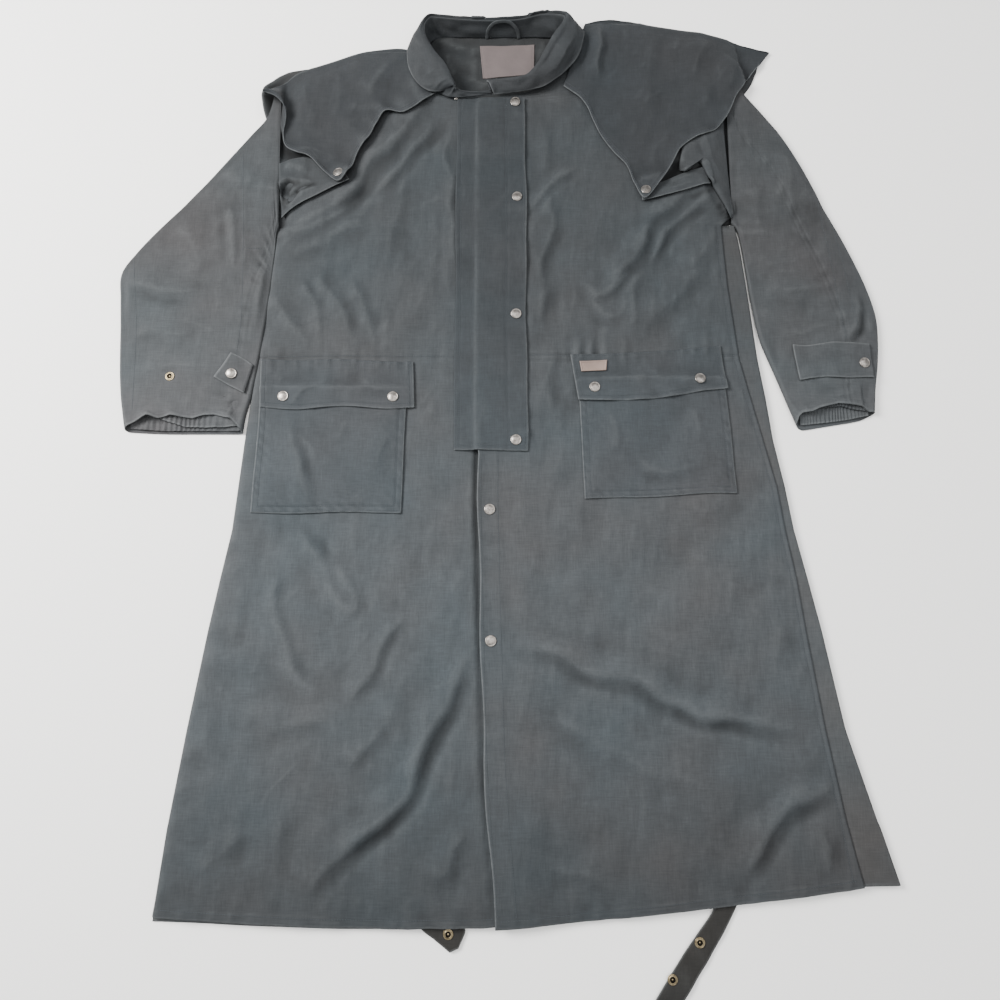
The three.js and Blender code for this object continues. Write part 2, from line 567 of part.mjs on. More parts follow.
// Collar stand: a band standing round the neck, sewn to the neckline, its ends meeting at the front
const STAND = [
  // foot x, y, z; top x, y, z
  [-8, 1160, 14.5, -9, 1163, 24],
  [-40, 1156, 14.5, -41, 1159, 24],
  [-70, 1154, 14.5, -64, 1160, 26],
  [-92, 1161, 13.6, -76, 1174, 30.1],
  [-105, 1180, 13.4, -84, 1193, 31.1],
  [-112, 1208, 12, -100, 1215, 32.1],
  [-113, 1236, 10, -112, 1239, 33.1],
  [-105, 1254, 6.4, -115, 1257, 33.1],
  [-92, 1261, 4.9, -107, 1273, 31.5],
  [-80, 1262.6, 4.7, -95, 1275, 30.3],
  [-58, 1263, 4.6, -68, 1273, 29.1],
  [-18, 1263, 4.6, -20, 1271, 28.1],
  [25, 1263, 4.6, 28, 1273, 28.1],
  [58, 1263, 4.6, 64, 1280, 30.1],
  [88, 1261, 4.7, 97, 1276, 32.1],
  [106, 1252, 8, 95, 1262, 34.3],
  [112, 1230, 12, 83, 1244, 35.3],
  [107, 1207, 13, 69, 1217, 35.3],
  [88, 1188, 13.6, 57, 1194, 33.3],
  [62, 1173, 14.5, 44, 1175, 30.3],
  [30, 1165, 14.5, 24, 1164.5, 27.3],
  [-3, 1161.5, 14.5, -4, 1161.5, 25],
];
{
  const sections = STAND.map(([fx, fy, fz, tx, ty, tz]) => even(3).map((t) => [lerp(fx, tx, t), lerp(fy, ty, t), lerp(fz, tz, t)]));
  bentSheet("collar_stand", sections, CLOTH_DARK);
}

// Collar: from the top of the stand it rolls over and falls outward, a wing on each side
const COLLAR = [
  // roll x, y, z; free edge x, y, z
  [-69, 1155, 30.2, -80, 1158, 21.5],
  [-76, 1174, 31.2, -95, 1157, 18.5],
  [-84, 1193, 32.2, -118, 1166, 18],
  [-100, 1215, 33.2, -134, 1188, 18],
  [-112, 1239, 34.2, -140, 1212, 17.5],
  [-115, 1257, 34.2, -138, 1240, 16],
  [-107, 1273, 32.9, -122, 1274, 11],
  [-95, 1275, 31.4, -103, 1285, 8.5],
  [-68, 1273, 30.2, -72, 1284, 8],
  [-20, 1271, 29.2, -22, 1282, 7],
  [28, 1273, 29.2, 30, 1284, 7],
  [64, 1280, 31.2, 67, 1291, 8],
  [97, 1276, 33.2, 108, 1287, 10],
  [95, 1262, 35.4, 127, 1265, 17],
  [83, 1244, 36.4, 127, 1246, 19],
  [69, 1217, 36.4, 118, 1216, 19.5],
  [57, 1194, 34.4, 98, 1190, 19.5],
  [44, 1175, 31.4, 72, 1171, 19.5],
  [24, 1164.5, 28.4, 40, 1161, 19.5],
];
{
  const sections = COLLAR.map(([rx, ry, rollHeight, ex, ey, ez]) => {
    const high = 2.2;
    const rz = rollHeight + 0.7;
    return [
      [rx, ry, rz],
      [lerp(rx, ex, 0.16), lerp(ry, ey, 0.16), rz + high],
      [lerp(rx, ex, 0.42), lerp(ry, ey, 0.42), lerp(rz, ez, 0.22) + high],
      [lerp(rx, ex, 0.72), lerp(ry, ey, 0.72), lerp(rz, ez, 0.6) + high],
      [ex, ey, ez],
    ];
  });
  bentSheet("collar", sections, CLOTH_MID);
}

// Neck label and hanger loop, inside the back of the neck
layPatch("neck_label", [[-26, 1190, 52, 1198], [-30, 1219, 55, 1221], [-32, 1247, 53, 1249]], even(3), ["back"], LABEL_MAUVE, 0, SMALL_CLOTH);
{
  // x, height up the inside of the stand
  const path = [[-20, 0], [-19.5, 7], [-16, 15], [-8, 21.5], [4, 24], [15, 22], [23, 16], [27.5, 8], [29, 0]];
  const sections = path.map(([x, t], i) => {
    const a = path[Math.max(0, i - 1)];
    const b = path[Math.min(path.length - 1, i + 1)];
    const l = Math.hypot(b[0] - a[0], b[1] - a[1]);
    const [nx, nt] = [(-(b[1] - a[1]) / l) * LOOP_HALF_WIDTH, ((b[0] - a[0]) / l) * LOOP_HALF_WIDTH];
    const on = (px, up) => [px, 1260.6 + 0.3 * up, 4.6 + up];
    return [on(x - nx, t - nt), on(x + nx, t + nt)];
  });
  bentSheet("hanger_loop", sections, CLOTH_MID, SMALL_CLOTH);
}

// Sleeve tabs: narrow straps that draw the cuff in, with a snap on each
layPatch("sleeve_tab_left", [[-402, 712, -384, 746], [-388, 703, -370, 741], [-372, 694, -361, 737]], even(2), ["sleeve_left"], CLOTH_PALE, 0);
layPatch("sleeve_tab_right", [[419, 704, 413, 757], [455, 709, 450, 758], [492, 708, 488, 760], [524, 709, 522, 759]], even(2), ["sleeve_right"], CLOTH_MID, 0);

// Leg straps: folded webbing of the same cloth, sewn inside and coming out below the hem
function buildLegStrap(name, ends, z) {
  const sections = ends.map(([ax, ay, bx, by]) => even(2).map((t) => [lerp(ax, bx, t), lerp(ay, by, t), z]));
  bentSheet(name, sections, CLOTH_MID);
}
buildLegStrap("leg_strap_left", [[-103, 24, -40, 30], [-101, 0, -44, 0], [-80, -17, -43, -8], [-60, -33, -52, -27]], CLOTH + SEAM + CLOTH / 2);
buildLegStrap("leg_strap_right", [[281, 60, 306, 62], [268, 22, 296, 26], [234, -22, 265, -26], [195, -76, 225, -84], [185, -92, 214, -104]], CLOTH + SEAM + CLOTH / 2);

// Snap caps: pressed domes with a rolled rim
function addSnap(name, x, y, under, otherwise = 0, scale = 1) {
  const z = seatAt(under, x, y, SNAP_CAP * 0.52 * scale, otherwise) + 0.3;
  const r = (SNAP_CAP / 2) * scale;
  const h = SNAP_RISE * scale;
  const profile = [[0, 0], [r * 0.93, 0], [r, h * 0.3], [r * 0.88, h * 0.72], [r * 0.55, h * 0.94], [0, h]].map(([a, b]) => new THREE.Vector2(a, b));
  const lathe = new THREE.LatheGeometry(profile, 14);
  lathe.rotateX(Math.PI / 2);
  const merged = weld(lathe);
  merged.translate(x, y, z);
  addMesh(name, merged, METAL, 0.9, 0.35);
}
// Sockets: an open ring with a sunk floor
function addSocket(name, x, y, z) {
  const r = SOCKET / 2;
  const profile = [[0, 0], [r * 0.9, 0], [r, 0.8], [r * 0.8, 1.8], [r * 0.5, 1.7], [r * 0.45, 0.8], [0, 0.8]].map(([a, b]) => new THREE.Vector2(a, b));
  const lathe = new THREE.LatheGeometry(profile, 12);
  lathe.rotateX(Math.PI / 2);
  const merged = weld(lathe);
  merged.translate(x, y, z);
  addMesh(name, merged, BRASS, 0.9, 0.4);
}
function weld(geometry) {
  const position = geometry.getAttribute("position");
  const index = geometry.getIndex();
  const seen = new Map();
  const points = [];
  const map = [];
  for (let i = 0; i < position.count; i++) {
    const k = [position.getX(i), position.getY(i), position.getZ(i)].map((v) => Math.round(v * 1e4)).join();
    if (!seen.has(k)) {
      seen.set(k, points.length / 3);
      points.push(position.getX(i), position.getY(i), position.getZ(i));
    }
    map.push(seen.get(k));
  }
  const faces = [];
  for (let i = 0; i < index.count; i += 3) {
    const [a, b, c] = [map[index.getX(i)], map[index.getX(i + 1)], map[index.getX(i + 2)]];
    if (a !== b && b !== c && a !== c) faces.push(a, b, c);
  }
  return facingOut(points, faces);
}
const SNAPS = [
  // name, x, y, what it is set in
  ["snap_flap_2", 25, 986, ["storm_flap"]],
  ["snap_flap_3", 23, 803, ["storm_flap"]],
  ["snap_flap_4", 22, 618, ["storm_flap"]],
  ["snap_front_1", -14, 521, ["front_right"]],
  ["snap_front_2", -12, 346, ["front_right"]],
  ["snap_pocket_left_1", -301, 680, ["pocket_flap_left"]],
  ["snap_pocket_left_2", -149, 680, ["pocket_flap_left"]],
  ["snap_pocket_right_1", 132, 694, ["pocket_flap_right"]],
  ["snap_pocket_right_2", 279, 706, ["pocket_flap_right"]],
  ["snap_cape_left", -240, 1030, ["cape_front_left"]],
  ["snap_cape_right", 216, 1001, ["cape_front_right"]],
  ["snap_tab_left", -376, 714, ["sleeve_tab_left"]],
  ["snap_tab_right", 512, 730, ["sleeve_tab_right"]],
];
for (const [name, x, y, under] of SNAPS) addSnap(name, x, y, under);
addSnap("snap_flap_1", 23, 1142, ["storm_flap"]);
addSocket("socket_sleeve_left", -462, 710, seatAt(["sleeve_left"], -462, 710, 7) + 0.3);
addSocket("socket_leg_left", -64, -10, 2 * CLOTH + SEAM + 0.3);
addSocket("socket_leg_right_1", 246, -19, 2 * CLOTH + SEAM + 0.3);
addSocket("socket_leg_right_2", 211, -61, 2 * CLOTH + SEAM + 0.3);

// The origin is the middle of the underside of the whole coat
const box = new THREE.Box3().setFromObject(coat);
const middle = box.getCenter(new THREE.Vector3());
coat.position.set(-middle.x, -middle.y, -box.min.z);
coat.updateMatrixWorld(true);

export default coat;
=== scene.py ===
import math

import bpy
import numpy as np
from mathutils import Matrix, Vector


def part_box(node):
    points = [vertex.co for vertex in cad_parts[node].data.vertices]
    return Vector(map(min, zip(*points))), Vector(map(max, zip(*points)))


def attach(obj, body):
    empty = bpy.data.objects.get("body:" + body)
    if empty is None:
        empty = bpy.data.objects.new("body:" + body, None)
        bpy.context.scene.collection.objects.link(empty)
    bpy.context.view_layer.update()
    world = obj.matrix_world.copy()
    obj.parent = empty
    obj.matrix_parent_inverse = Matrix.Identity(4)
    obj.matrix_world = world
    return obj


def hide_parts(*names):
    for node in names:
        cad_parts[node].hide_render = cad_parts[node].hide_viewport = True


# The duster coat lies on its back on a pale floor, front up, its storm flap snapped shut.
# Every cloth piece below is worked in millimetres with x across, y from hem to collar and z up,
# and is then moved onto the frame's solids, found by the storm flap's left and upper edge.
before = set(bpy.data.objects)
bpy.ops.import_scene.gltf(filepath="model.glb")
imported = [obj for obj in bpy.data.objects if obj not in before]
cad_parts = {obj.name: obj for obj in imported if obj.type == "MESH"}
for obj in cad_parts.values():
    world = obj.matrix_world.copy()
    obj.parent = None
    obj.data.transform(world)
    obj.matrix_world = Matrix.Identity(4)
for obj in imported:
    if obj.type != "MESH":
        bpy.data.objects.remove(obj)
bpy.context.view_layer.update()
flap_low, flap_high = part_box("storm_flap")
FLAP_LEFT, FLAP_TOP = -64.5, 1150.0
SHIFT = np.array([flap_low[0] * 1000 - FLAP_LEFT, flap_high[1] * 1000 - FLAP_TOP, 0.0])


# The back: one panel of waxed cotton, flat on the floor. Below the underarm it is wrapped round
# its right edge and felled to the right front, so its turned edge shows beside the side seam.
def look(table, value, column):
    """A column of a table at that value of its first one, on a straight line between its rows."""
    rows = np.array([[row[0], row[column]] for row in table], float)
    return np.interp(value, rows[:, 0], rows[:, 1])


def ease(t):
    """From 0 at 0 to 1 at 1, with soft ends."""
    t = np.clip(t, 0.0, 1.0)
    return t * t * (3 - 2 * t)


def bell(away, width):
    """One at no distance, falling off to both sides within about that width."""
    return np.exp(-((away / width) ** 2))


def through(points, count):
    """Even points on a smooth curve through the given ones."""
    p = np.array(points, float)
    ends = np.vstack([2 * p[0] - p[1], p, 2 * p[-1] - p[-2]])
    t = np.linspace(0, len(p) - 1 - 1e-9, count)
    i = t.astype(int)
    f = (t - i)[:, None]
    a, b, c, d = ends[i], ends[i + 1], ends[i + 2], ends[i + 3]
    return 0.5 * (2 * b + (c - a) * f + (2 * a - 5 * b + 4 * c - d) * f**2 + (3 * b - a - 3 * c + d) * f**3)


def waves(x, y, size, seed, turn=0.0, stretch=1.0):
    """A smooth uneven surface of about plus or minus one, with bumps of that size."""
    rng = np.random.default_rng(seed)
    xr = (x * math.cos(turn) + y * math.sin(turn)) / stretch
    yr = -x * math.sin(turn) + y * math.cos(turn)
    total = np.zeros(np.shape(x))
    for angle, scale, phase in rng.uniform((0, 0.7, 0), (math.tau, 1.5, math.tau), (22, 3)):
        k = math.tau / (size * scale)
        total += np.cos(k * (math.cos(angle) * xr + math.sin(angle) * yr) + phase)
    return total / 3.3


def creased(x, y, size, seed, turn=0.0, stretch=1.0):
    """Thin soft ridges between shallow dishes, as stiff cloth takes after folding."""
    return 0.55 - np.minimum(np.abs(waves(x, y, size, seed, turn, stretch)), 1.3)


def path_distance(x, y, path):
    """Distance to a path, the share of the way along it, and the side of it."""
    best = np.full(np.shape(x), 1e9)
    along = np.zeros(np.shape(x))
    side = np.ones(np.shape(x))
    steps = [math.dist(a, b) for a, b in zip(path, path[1:])]
    run = 0.0
    for (ax, ay), (bx, by), step in zip(path, path[1:], steps):
        t = np.clip(((x - ax) * (bx - ax) + (y - ay) * (by - ay)) / step**2, 0, 1)
        d = np.hypot(x - ax - t * (bx - ax), y - ay - t * (by - ay))
        near = d < best
        best = np.where(near, d, best)
        along = np.where(near, (run + t * step) / sum(steps), along)
        turn = (bx - ax) * (y - ay) - (by - ay) * (x - ax)
        side = np.where(near, np.sign(turn), side)
        run += step
    return best, along, side


def folds(x, y, table):
    """Creases along short paths, as (path, width, rise, lean): ridges, or troughs below 0.

    Each has a gentle flank and a steep one that falls to the lower right, more so with lean.
    """
    xw, yw = x + 2.4 * waves(x, y, 75, 901), y + 2.4 * waves(x, y, 75, 902)
    uneven = 1 + 0.2 * waves(x, y, 70, 903)
    z = np.zeros(np.shape(x))
    for path, width, rise, lean in table:
        d, along, side = path_distance(xw, yw, path)
        (ax, ay), (bx, by) = path[0], path[-1]
        steep = side * np.sign(-(by - ay) - (bx - ax)) * np.sign(rise) > 0
        wide = width * np.where(steep, 0.7 - 0.8 * lean, 1.35 + 1.5 * lean)
        fade = ease(np.minimum(along, 1 - along) / 0.32 + 0.04)
        z += 0.8 * rise * uneven * fade * np.exp(-((d / wide) ** 1.5))
    return z


def furrows(x, y, table):
    """Pulled folds along paths, as (path, width, rise): the cloth swells gently from the upper
    left, drops steeply at the path, and dips a little below its level before it lies flat again."""
    xw, yw = x + 2.4 * waves(x, y, 75, 911), y + 2.4 * waves(x, y, 75, 912)
    uneven = 1 + 0.22 * waves(x, y, 60, 913)
    z = np.zeros(np.shape(x))
    for path, width, rise in table:
        (ax, ay), (bx, by) = path[0], path[-1]
        d, along, side = path_distance(xw, yw, through(path, 4 * len(path)))
        across = d * side * np.sign(by - ay + bx - ax)
        drop = ease((across + width) / (2 * width)) * bell(np.maximum(across - width, 0), 3.6 * width)
        dip = 0.3 * bell(across + 2.1 * width, 1.4 * width)
        z += rise * uneven * ease(np.minimum(along, 1 - along) / 0.3 + 0.03) * (drop - dip)
    return z


def small_creases(x, y, seed, count, heading, length=70, width=5, rise=0.7):
    """Faint short wrinkles scattered over a piece, most of them along one heading in degrees."""
    rng = np.random.default_rng(seed)
    table = []
    for _ in range(count):
        cx, cy = rng.uniform(x.min(), x.max()), rng.uniform(y.min(), y.max())
        angle = math.radians(heading + rng.normal(0, 24))
        half = length * rng.uniform(0.3, 1.0) / 2
        bend = rng.normal(0, 0.12) * half
        dx, dy = math.cos(angle), math.sin(angle)
        start, end = (cx - half * dx, cy - half * dy), (cx + half * dx, cy + half * dy)
        wide = width * rng.uniform(0.6, 1.7)
        high = rise * rng.choice([-0.8, 1.0]) * rng.uniform(0.4, 1.3)
        table.append(([start, (cx - bend * dy, cy + bend * dx), end], wide, high, 0.1))
    return folds(x, y, table)


def spread(length, step, fine=2.0, border=14.0):
    """Shares along a length, closer together near both ends, where hems and stitches lie."""
    edge = np.arange(0, border, fine)
    middle = np.linspace(border, length - border, max(3, round((length - 2 * border) / step)))
    return np.concatenate([edge, middle, length - edge[::-1]]) / length


def rows_between(left, right, shares):
    """A grid of plan points on straight lines from each left point to its right point."""
    left, right = np.array(left, float), np.array(right, float)
    return left[:, None, :] + (right - left)[:, None, :] * np.array(shares)[None, :, None]


def grid_normals(p):
    """Unit normals of a grid of points, on its outer face."""
    du = np.gradient(p, axis=0)
    dv = np.gradient(p, axis=1)
    n = np.cross(dv, du)
    n /= np.linalg.norm(n, axis=2, keepdims=True) + 1e-12
    return n if n[..., 2].sum() > 0 else -n


def side_distances(p):
    """Millimetres from each grid point to the first, last row (s, n) and first, last column (w, e)."""
    down = np.linalg.norm(np.diff(p, axis=0), axis=2)
    down = np.vstack([np.zeros((1, p.shape[1])), np.cumsum(down, axis=0)])
    over = np.linalg.norm(np.diff(p, axis=1), axis=2)
    over = np.hstack([np.zeros((p.shape[0], 1)), np.cumsum(over, axis=1)])
    return {"s": down, "n": down[-1:] - down, "w": over, "e": over[:, -1:] - over}


def nearest(sides, names):
    """Millimetres to the nearest of the named sides."""
    return np.minimum.reduce([sides[name] for name in names])


# Painted light and shade along the length, lighter in the middle and darker towards hem and collar: y, and
# a factor for its colour
LIGHT_ALONG_LENGTH = [
    (-120, 0, 60, 200, 400, 620, 800, 950, 1080, 1200),
    (0.74, 0.8, 0.95, 1.2, 1.32, 1.2, 0.93, 0.82, 0.78, 0.78),
]


def mesh_object(name, points, quads, wear=None, crease_shade=None):
    """A smooth mesh from points in garment millimetres; cloth also carries its wear and a 'fade' factor of
    painted light and shade.
    """
    mesh = bpy.data.meshes.new(name)
    mesh.from_pydata(((points + SHIFT) / 1000).tolist(), [], [list(map(int, q)) for q in quads])
    if wear is not None:
        mesh.attributes.new("wear", "FLOAT", "POINT").data.foreach_set("value", wear.astype(np.float32))
        # painted light and shade: a colour factor along the length, made darker in creases as painted shade
        fade = np.interp(points[:, 1], LIGHT_ALONG_LENGTH[0], LIGHT_ALONG_LENGTH[1]).astype(np.float32)
        if crease_shade is not None:
            fade[: len(crease_shade)] *= 1 - 0.55 * crease_shade
        mesh.attributes.new("fade", "FLOAT", "POINT").data.foreach_set("value", fade)
    mesh.polygons.foreach_set("use_smooth", [True] * len(mesh.polygons))
    mesh.update()
    thing = bpy.data.objects.new(name, mesh)
    bpy.context.collection.objects.link(thing)
    return thing


def grid_quads(rows, cols, first=0, flip=False, loop=False):
    """Faces between neighbours of a grid of points; a loop also joins its last column to its first."""
    i, j = np.meshgrid(np.arange(rows - 1), np.arange(cols if loop else cols - 1), indexing="ij")
    k = (j + 1) % cols
    below, above = i * cols, (i + 1) * cols
    q = np.stack([below + j, below + k, above + k, above + j], -1).reshape(-1, 4) + first
    return q[:, ::-1] if flip else q


def wear_of(z, sides, edges):
    """Where the wax has rubbed off: on the crests of folds and along the turned edges."""
    soft = z.copy()
    for _ in range(3):
        padded = np.pad(soft, 1, mode="edge")
        soft = (padded[:-2, 1:-1] + padded[2:, 1:-1] + padded[1:-1, :-2] + padded[1:-1, 2:]) / 4
    crest = np.clip((z - soft) * 0.5 - 0.02, 0, 0.22)
    for side in edges:
        crest = np.maximum(crest, bell(sides[side], 1.4))
    return crest


def painted_crease_shade(z, edge=None):
    """Painted shade: how much darker the cloth is painted where it lies in a crease or pit below its
    surroundings.
    """
    kernel = bell(np.arange(-10, 11), 5)
    kernel /= kernel.sum()
    soft = np.pad(z, 10, mode="edge")
    for axis in (0, 1):
        soft = np.apply_along_axis(np.convolve, axis, soft, kernel, mode="valid")
    depth = 0.8 * np.clip((soft - z - 0.15) / 2.2, 0, 1) + 0.55 * np.clip((soft - z - 2.2) / 2, 0, 1)
    return (depth if edge is None else depth * ease(edge / 6)).ravel()


def sheet_object(name, top, wall=1.4, edges="", along_z=False):
    """A closed thin sheet below a grid of points on its outer face."""
    rows, cols = top.shape[:2]
    down = np.array([0.0, 0.0, 1.0]) if along_z else grid_normals(top)
    bottom = top - wall * down
    n = rows * cols
    sides = side_distances(top)
    wear = np.concatenate([wear_of(top[..., 2], sides, edges).ravel()] * 2)
    rim = []
    for j in range(cols - 1):
        rim.append((j + 1, j, n + j, n + j + 1))
        k = (rows - 1) * cols + j
        rim.append((k, k + 1, n + k + 1, n + k))
    for i in range(rows - 1):
        k = i * cols
        rim.append((k, k + cols, n + k + cols, n + k))
        k = i * cols + cols - 1
        rim.append((k + cols, k, n + k, n + k + cols))
    quads = np.vstack([grid_quads(rows, cols), grid_quads(rows, cols, n, True), np.array(rim)])
    points = np.vstack([top.reshape(-1, 3), bottom.reshape(-1, 3)])
    if np.cross(top[0, 1] - top[0, 0], top[1, 0] - top[0, 0])[2] < 0:
        quads = quads[:, ::-1]
    # the sheet's creases get painted shade, fading out towards its edges
    return mesh_object(name, points, quads, wear, painted_crease_shade(top[..., 2], nearest(sides, "snwe")))


# What has been laid so far, as heights on a 2 mm raster, so that the next piece lies on it
PILE_X, PILE_Y, CELL = -600.0, -130.0, 2.0
pile = np.zeros((760, 600))


def pile_up(top):
    """Adds the heights of a sheet's outer face to the pile."""
    a, b = top[:-1, :-1], top[:-1, 1:]
    c, d = top[1:, :-1], top[1:, 1:]
    longest = max(np.abs(np.diff(top[..., :2], axis=0)).max(), np.abs(np.diff(top[..., :2], axis=1)).max())
    steps = int(min(8, max(1, math.ceil(longest / CELL * 1.3))))
    for u in (np.arange(steps) + 0.5) / steps:
        for v in (np.arange(steps) + 0.5) / steps:
            p = (a * (1 - u) + b * u) * (1 - v) + (c * (1 - u) + d * u) * v
            i = np.clip(((p[..., 1] - PILE_Y) / CELL).astype(int), 0, pile.shape[0] - 1)
            j = np.clip(((p[..., 0] - PILE_X) / CELL).astype(int), 0, pile.shape[1] - 1)
            np.maximum.at(pile, (i.ravel(), j.ravel()), p[..., 2].ravel())


def pile_height(x, y, blur=6.0, grow=3.0):
    """Height of the pile at those places, with its steps and hollows bridged as cloth does."""
    pad = int((blur * 2 + grow) / CELL) + 3
    j0 = max(0, int((x.min() - PILE_X) / CELL) - pad)
    j1 = min(pile.shape[1], int((x.max() - PILE_X) / CELL) + pad)
    i0 = max(0, int((y.min() - PILE_Y) / CELL) - pad)
    i1 = min(pile.shape[0], int((y.max() - PILE_Y) / CELL) + pad)
    part = pile[i0:i1, j0:j1].copy()
    for _ in range(max(1, round(grow / CELL))):
        p = np.pad(part, 1, mode="edge")
        part = np.max([p[1:-1, 1:-1], p[:-2, 1:-1], p[2:, 1:-1], p[1:-1, :-2], p[1:-1, 2:]], axis=0)
    hard = part.copy()
    reach = max(1, round(blur / CELL))
    kernel = bell(np.arange(-2 * reach, 2 * reach + 1), reach)
    kernel /= kernel.sum()
    for axis in (0, 1):
        wide = np.pad(part, [(2 * reach, 2 * reach) if k == axis else (0, 0) for k in (0, 1)], mode="edge")
        part = np.apply_along_axis(lambda line: np.convolve(line, kernel, mode="valid"), axis, wide)
    part = np.maximum(part, hard)
    fx = np.clip((x - PILE_X) / CELL - 0.5 - j0, 0, part.shape[1] - 1.001)
    fy = np.clip((y - PILE_Y) / CELL - 0.5 - i0, 0, part.shape[0] - 1.001)
    i, j = fy.astype(int), fx.astype(int)
    u, v = fx - j, fy - i
    low = part[i, j] * (1 - u) + part[i, j + 1] * u
    high = part[i + 1, j] * (1 - u) + part[i + 1, j + 1] * u
    return low * (1 - v) + high * v


def clear_of_pile(z, x, y, gap=1.7):
    """Lifts a piece's outer face wherever it would sink into what lies below it."""
    return np.maximum(z, pile_height(x, y, 2, 1) + gap)


def new_group(name, numbers, outputs):
    """A node group that takes a Vector and named numbers with start values, and gives numbers."""
    tree = bpy.data.node_groups.new(name, "ShaderNodeTree")
    tree.interface.new_socket("Vector", in_out="INPUT", socket_type="NodeSocketVector")
    for label, value in numbers.items():
        socket = tree.interface.new_socket(label, in_out="INPUT", socket_type="NodeSocketFloat")
        socket.default_value = value
    for label in outputs:
        tree.interface.new_socket(label, in_out="OUTPUT", socket_type="NodeSocketFloat")
    return tree, tree.nodes.new("NodeGroupInput").outputs, tree.nodes.new("NodeGroupOutput").inputs


def feed(tree, socket, value):
    """Sets a socket to a plain value, or links another socket to it."""
    if isinstance(value, (int, float, tuple)):
        socket.default_value = value
    else:
        tree.links.new(value, socket)


def new_node(tree, kind, **inputs):
    """A shader node with its named inputs fed; an underscore in a name stands for a space."""
    node = tree.nodes.new("ShaderNode" + kind)
    for label, value in inputs.items():
        feed(tree, node.inputs[label.replace("_", " ")], value)
    return node


def math_node(tree, operation, a, b):
    node = tree.nodes.new("ShaderNodeMath")
    node.operation = operation
    for socket, value in zip(node.inputs, (a, b)):
        feed(tree, socket, value)
    return node.outputs[0]


def noise_node(tree, vector, scale, detail, rough):
    noise = new_node(tree, "TexNoise", Vector=vector, Scale=scale, Detail=detail, Roughness=rough)
    return noise.outputs["Fac"]


def clamp_node(tree, value):
    return new_node(tree, "Clamp", Value=value).outputs[0]


def mottle_group():
    """Patches where the wax lies thicker or thinner: one mask for hue, one for lightness."""
    tree, given, out = new_group("wax_mottle", {"Patch Scale": 5.0, "Contrast": 1.6},
        ("Hue Mask", "Light Mask"))
    patches = noise_node(tree, given["Vector"], given["Patch Scale"], 3.0, 0.55)
    fine_scale = math_node(tree, "MULTIPLY", given["Patch Scale"], 7.3)
    spots = noise_node(tree, given["Vector"], fine_scale, 5.0, 0.6)
    for source, label in ((patches, "Hue Mask"), (spots, "Light Mask")):
        centred = math_node(tree, "SUBTRACT", source, 0.5)
        strong = math_node(tree, "MULTIPLY", centred, given["Contrast"])
        feed(tree, out[label], clamp_node(tree, math_node(tree, "ADD", strong, 0.5)))
    return tree


def weave_group():
    """Plain weave: a height with fine rubbed creases, and a tone from slubs in both thread systems."""
    tree, given, out = new_group("waxed_weave", {"Thread Scale": 1150.0, "Crease Scale": 95.0},
        ("Height", "Tone"))
    threads, slubs = [], []
    for direction, stretch in (("X", (1.0, 0.09, 1.0)), ("Y", (0.09, 1.0, 1.0))):
        wave = new_node(tree, "TexWave", Vector=given["Vector"], Scale=given["Thread Scale"],
            Distortion=0.6)
        wave.bands_direction = direction
        threads.append(wave.outputs["Fac"])
        drawn = new_node(tree, "VectorMath")
        drawn.operation = "MULTIPLY"
        feed(tree, drawn.inputs[0], given["Vector"])
        feed(tree, drawn.inputs[1], stretch)
        coarse = math_node(tree, "MULTIPLY", given["Thread Scale"], 0.5)
        slubs.append(noise_node(tree, drawn.outputs[0], coarse, 3.0, 0.6))
    cross = math_node(tree, "MULTIPLY", math_node(tree, "MULTIPLY", threads[0], threads[1]), 0.12)
    crumple = noise_node(tree, given["Vector"], given["Crease Scale"], 6.0, 0.62)
    slub = math_node(tree, "ADD", slubs[0], slubs[1])
    height = math_node(tree, "ADD", cross, math_node(tree, "MULTIPLY", crumple, 0.55))
    feed(tree, out["Height"], math_node(tree, "ADD", height, math_node(tree, "MULTIPLY", slub, 0.16)))
    feed(tree, out["Tone"], math_node(tree, "MULTIPLY", slub, 0.5))
    return tree


def wear_group():
    """A mask of rubbed cloth from the wear painted on the mesh, broken up by small noise."""
    tree, given, out = new_group("rubbed_edges", {"Wear": 0.0, "Amount": 0.5}, ("Mask",))
    specks = noise_node(tree, given["Vector"], 160.0, 4.0, 0.6)
    broken = math_node(tree, "MULTIPLY", math_node(tree, "MULTIPLY", specks, 1.7), given["Wear"])
    feed(tree, out["Mask"], clamp_node(tree, math_node(tree, "MULTIPLY", broken, given["Amount"])))
    return tree


MOTTLE, WEAVE, RUBBED = mottle_group(), weave_group(), wear_group()


def linear(red, green, blue):
    """A colour of 0 to 255, as seen on a screen, in the linear values that a shader takes."""
    shares = [value / 255 for value in (red, green, blue)]
    return tuple(v / 12.92 if v <= 0.04045 else ((v + 0.055) / 1.055) ** 2.4 for v in shares) + (1.0,)


def colour_mix(tree, factor, a, b):
    node = tree.nodes.new("ShaderNodeMix")
    node.data_type = "RGBA"
    for name, kind, value in (("Factor", "VALUE", factor), ("A", "RGBA", a), ("B", "RGBA", b)):
        feed(tree, [s for s in node.inputs if s.name == name and s.type == kind][0], value)
    return [s for s in node.outputs if s.type == "RGBA"][0]


def new_material(name):
    """A material, its node tree, its Principled BSDF and the object's coordinates."""
    material = bpy.data.materials.new(name)
    material.use_nodes = True
    tree = material.node_tree
    place = tree.nodes.new("ShaderNodeTexCoord").outputs["Object"]
    return material, tree, tree.nodes["Principled BSDF"], place


def group_node(tree, group, place, **inputs):
    """A shared group used in a material; an underscore in an input's name stands for a space."""
    node = tree.nodes.new("ShaderNodeGroup")
    node.node_tree = group
    for label, value in {"Vector": place, **inputs}.items():
        feed(tree, node.inputs[label.replace("_", " ")], value)
    return node.outputs


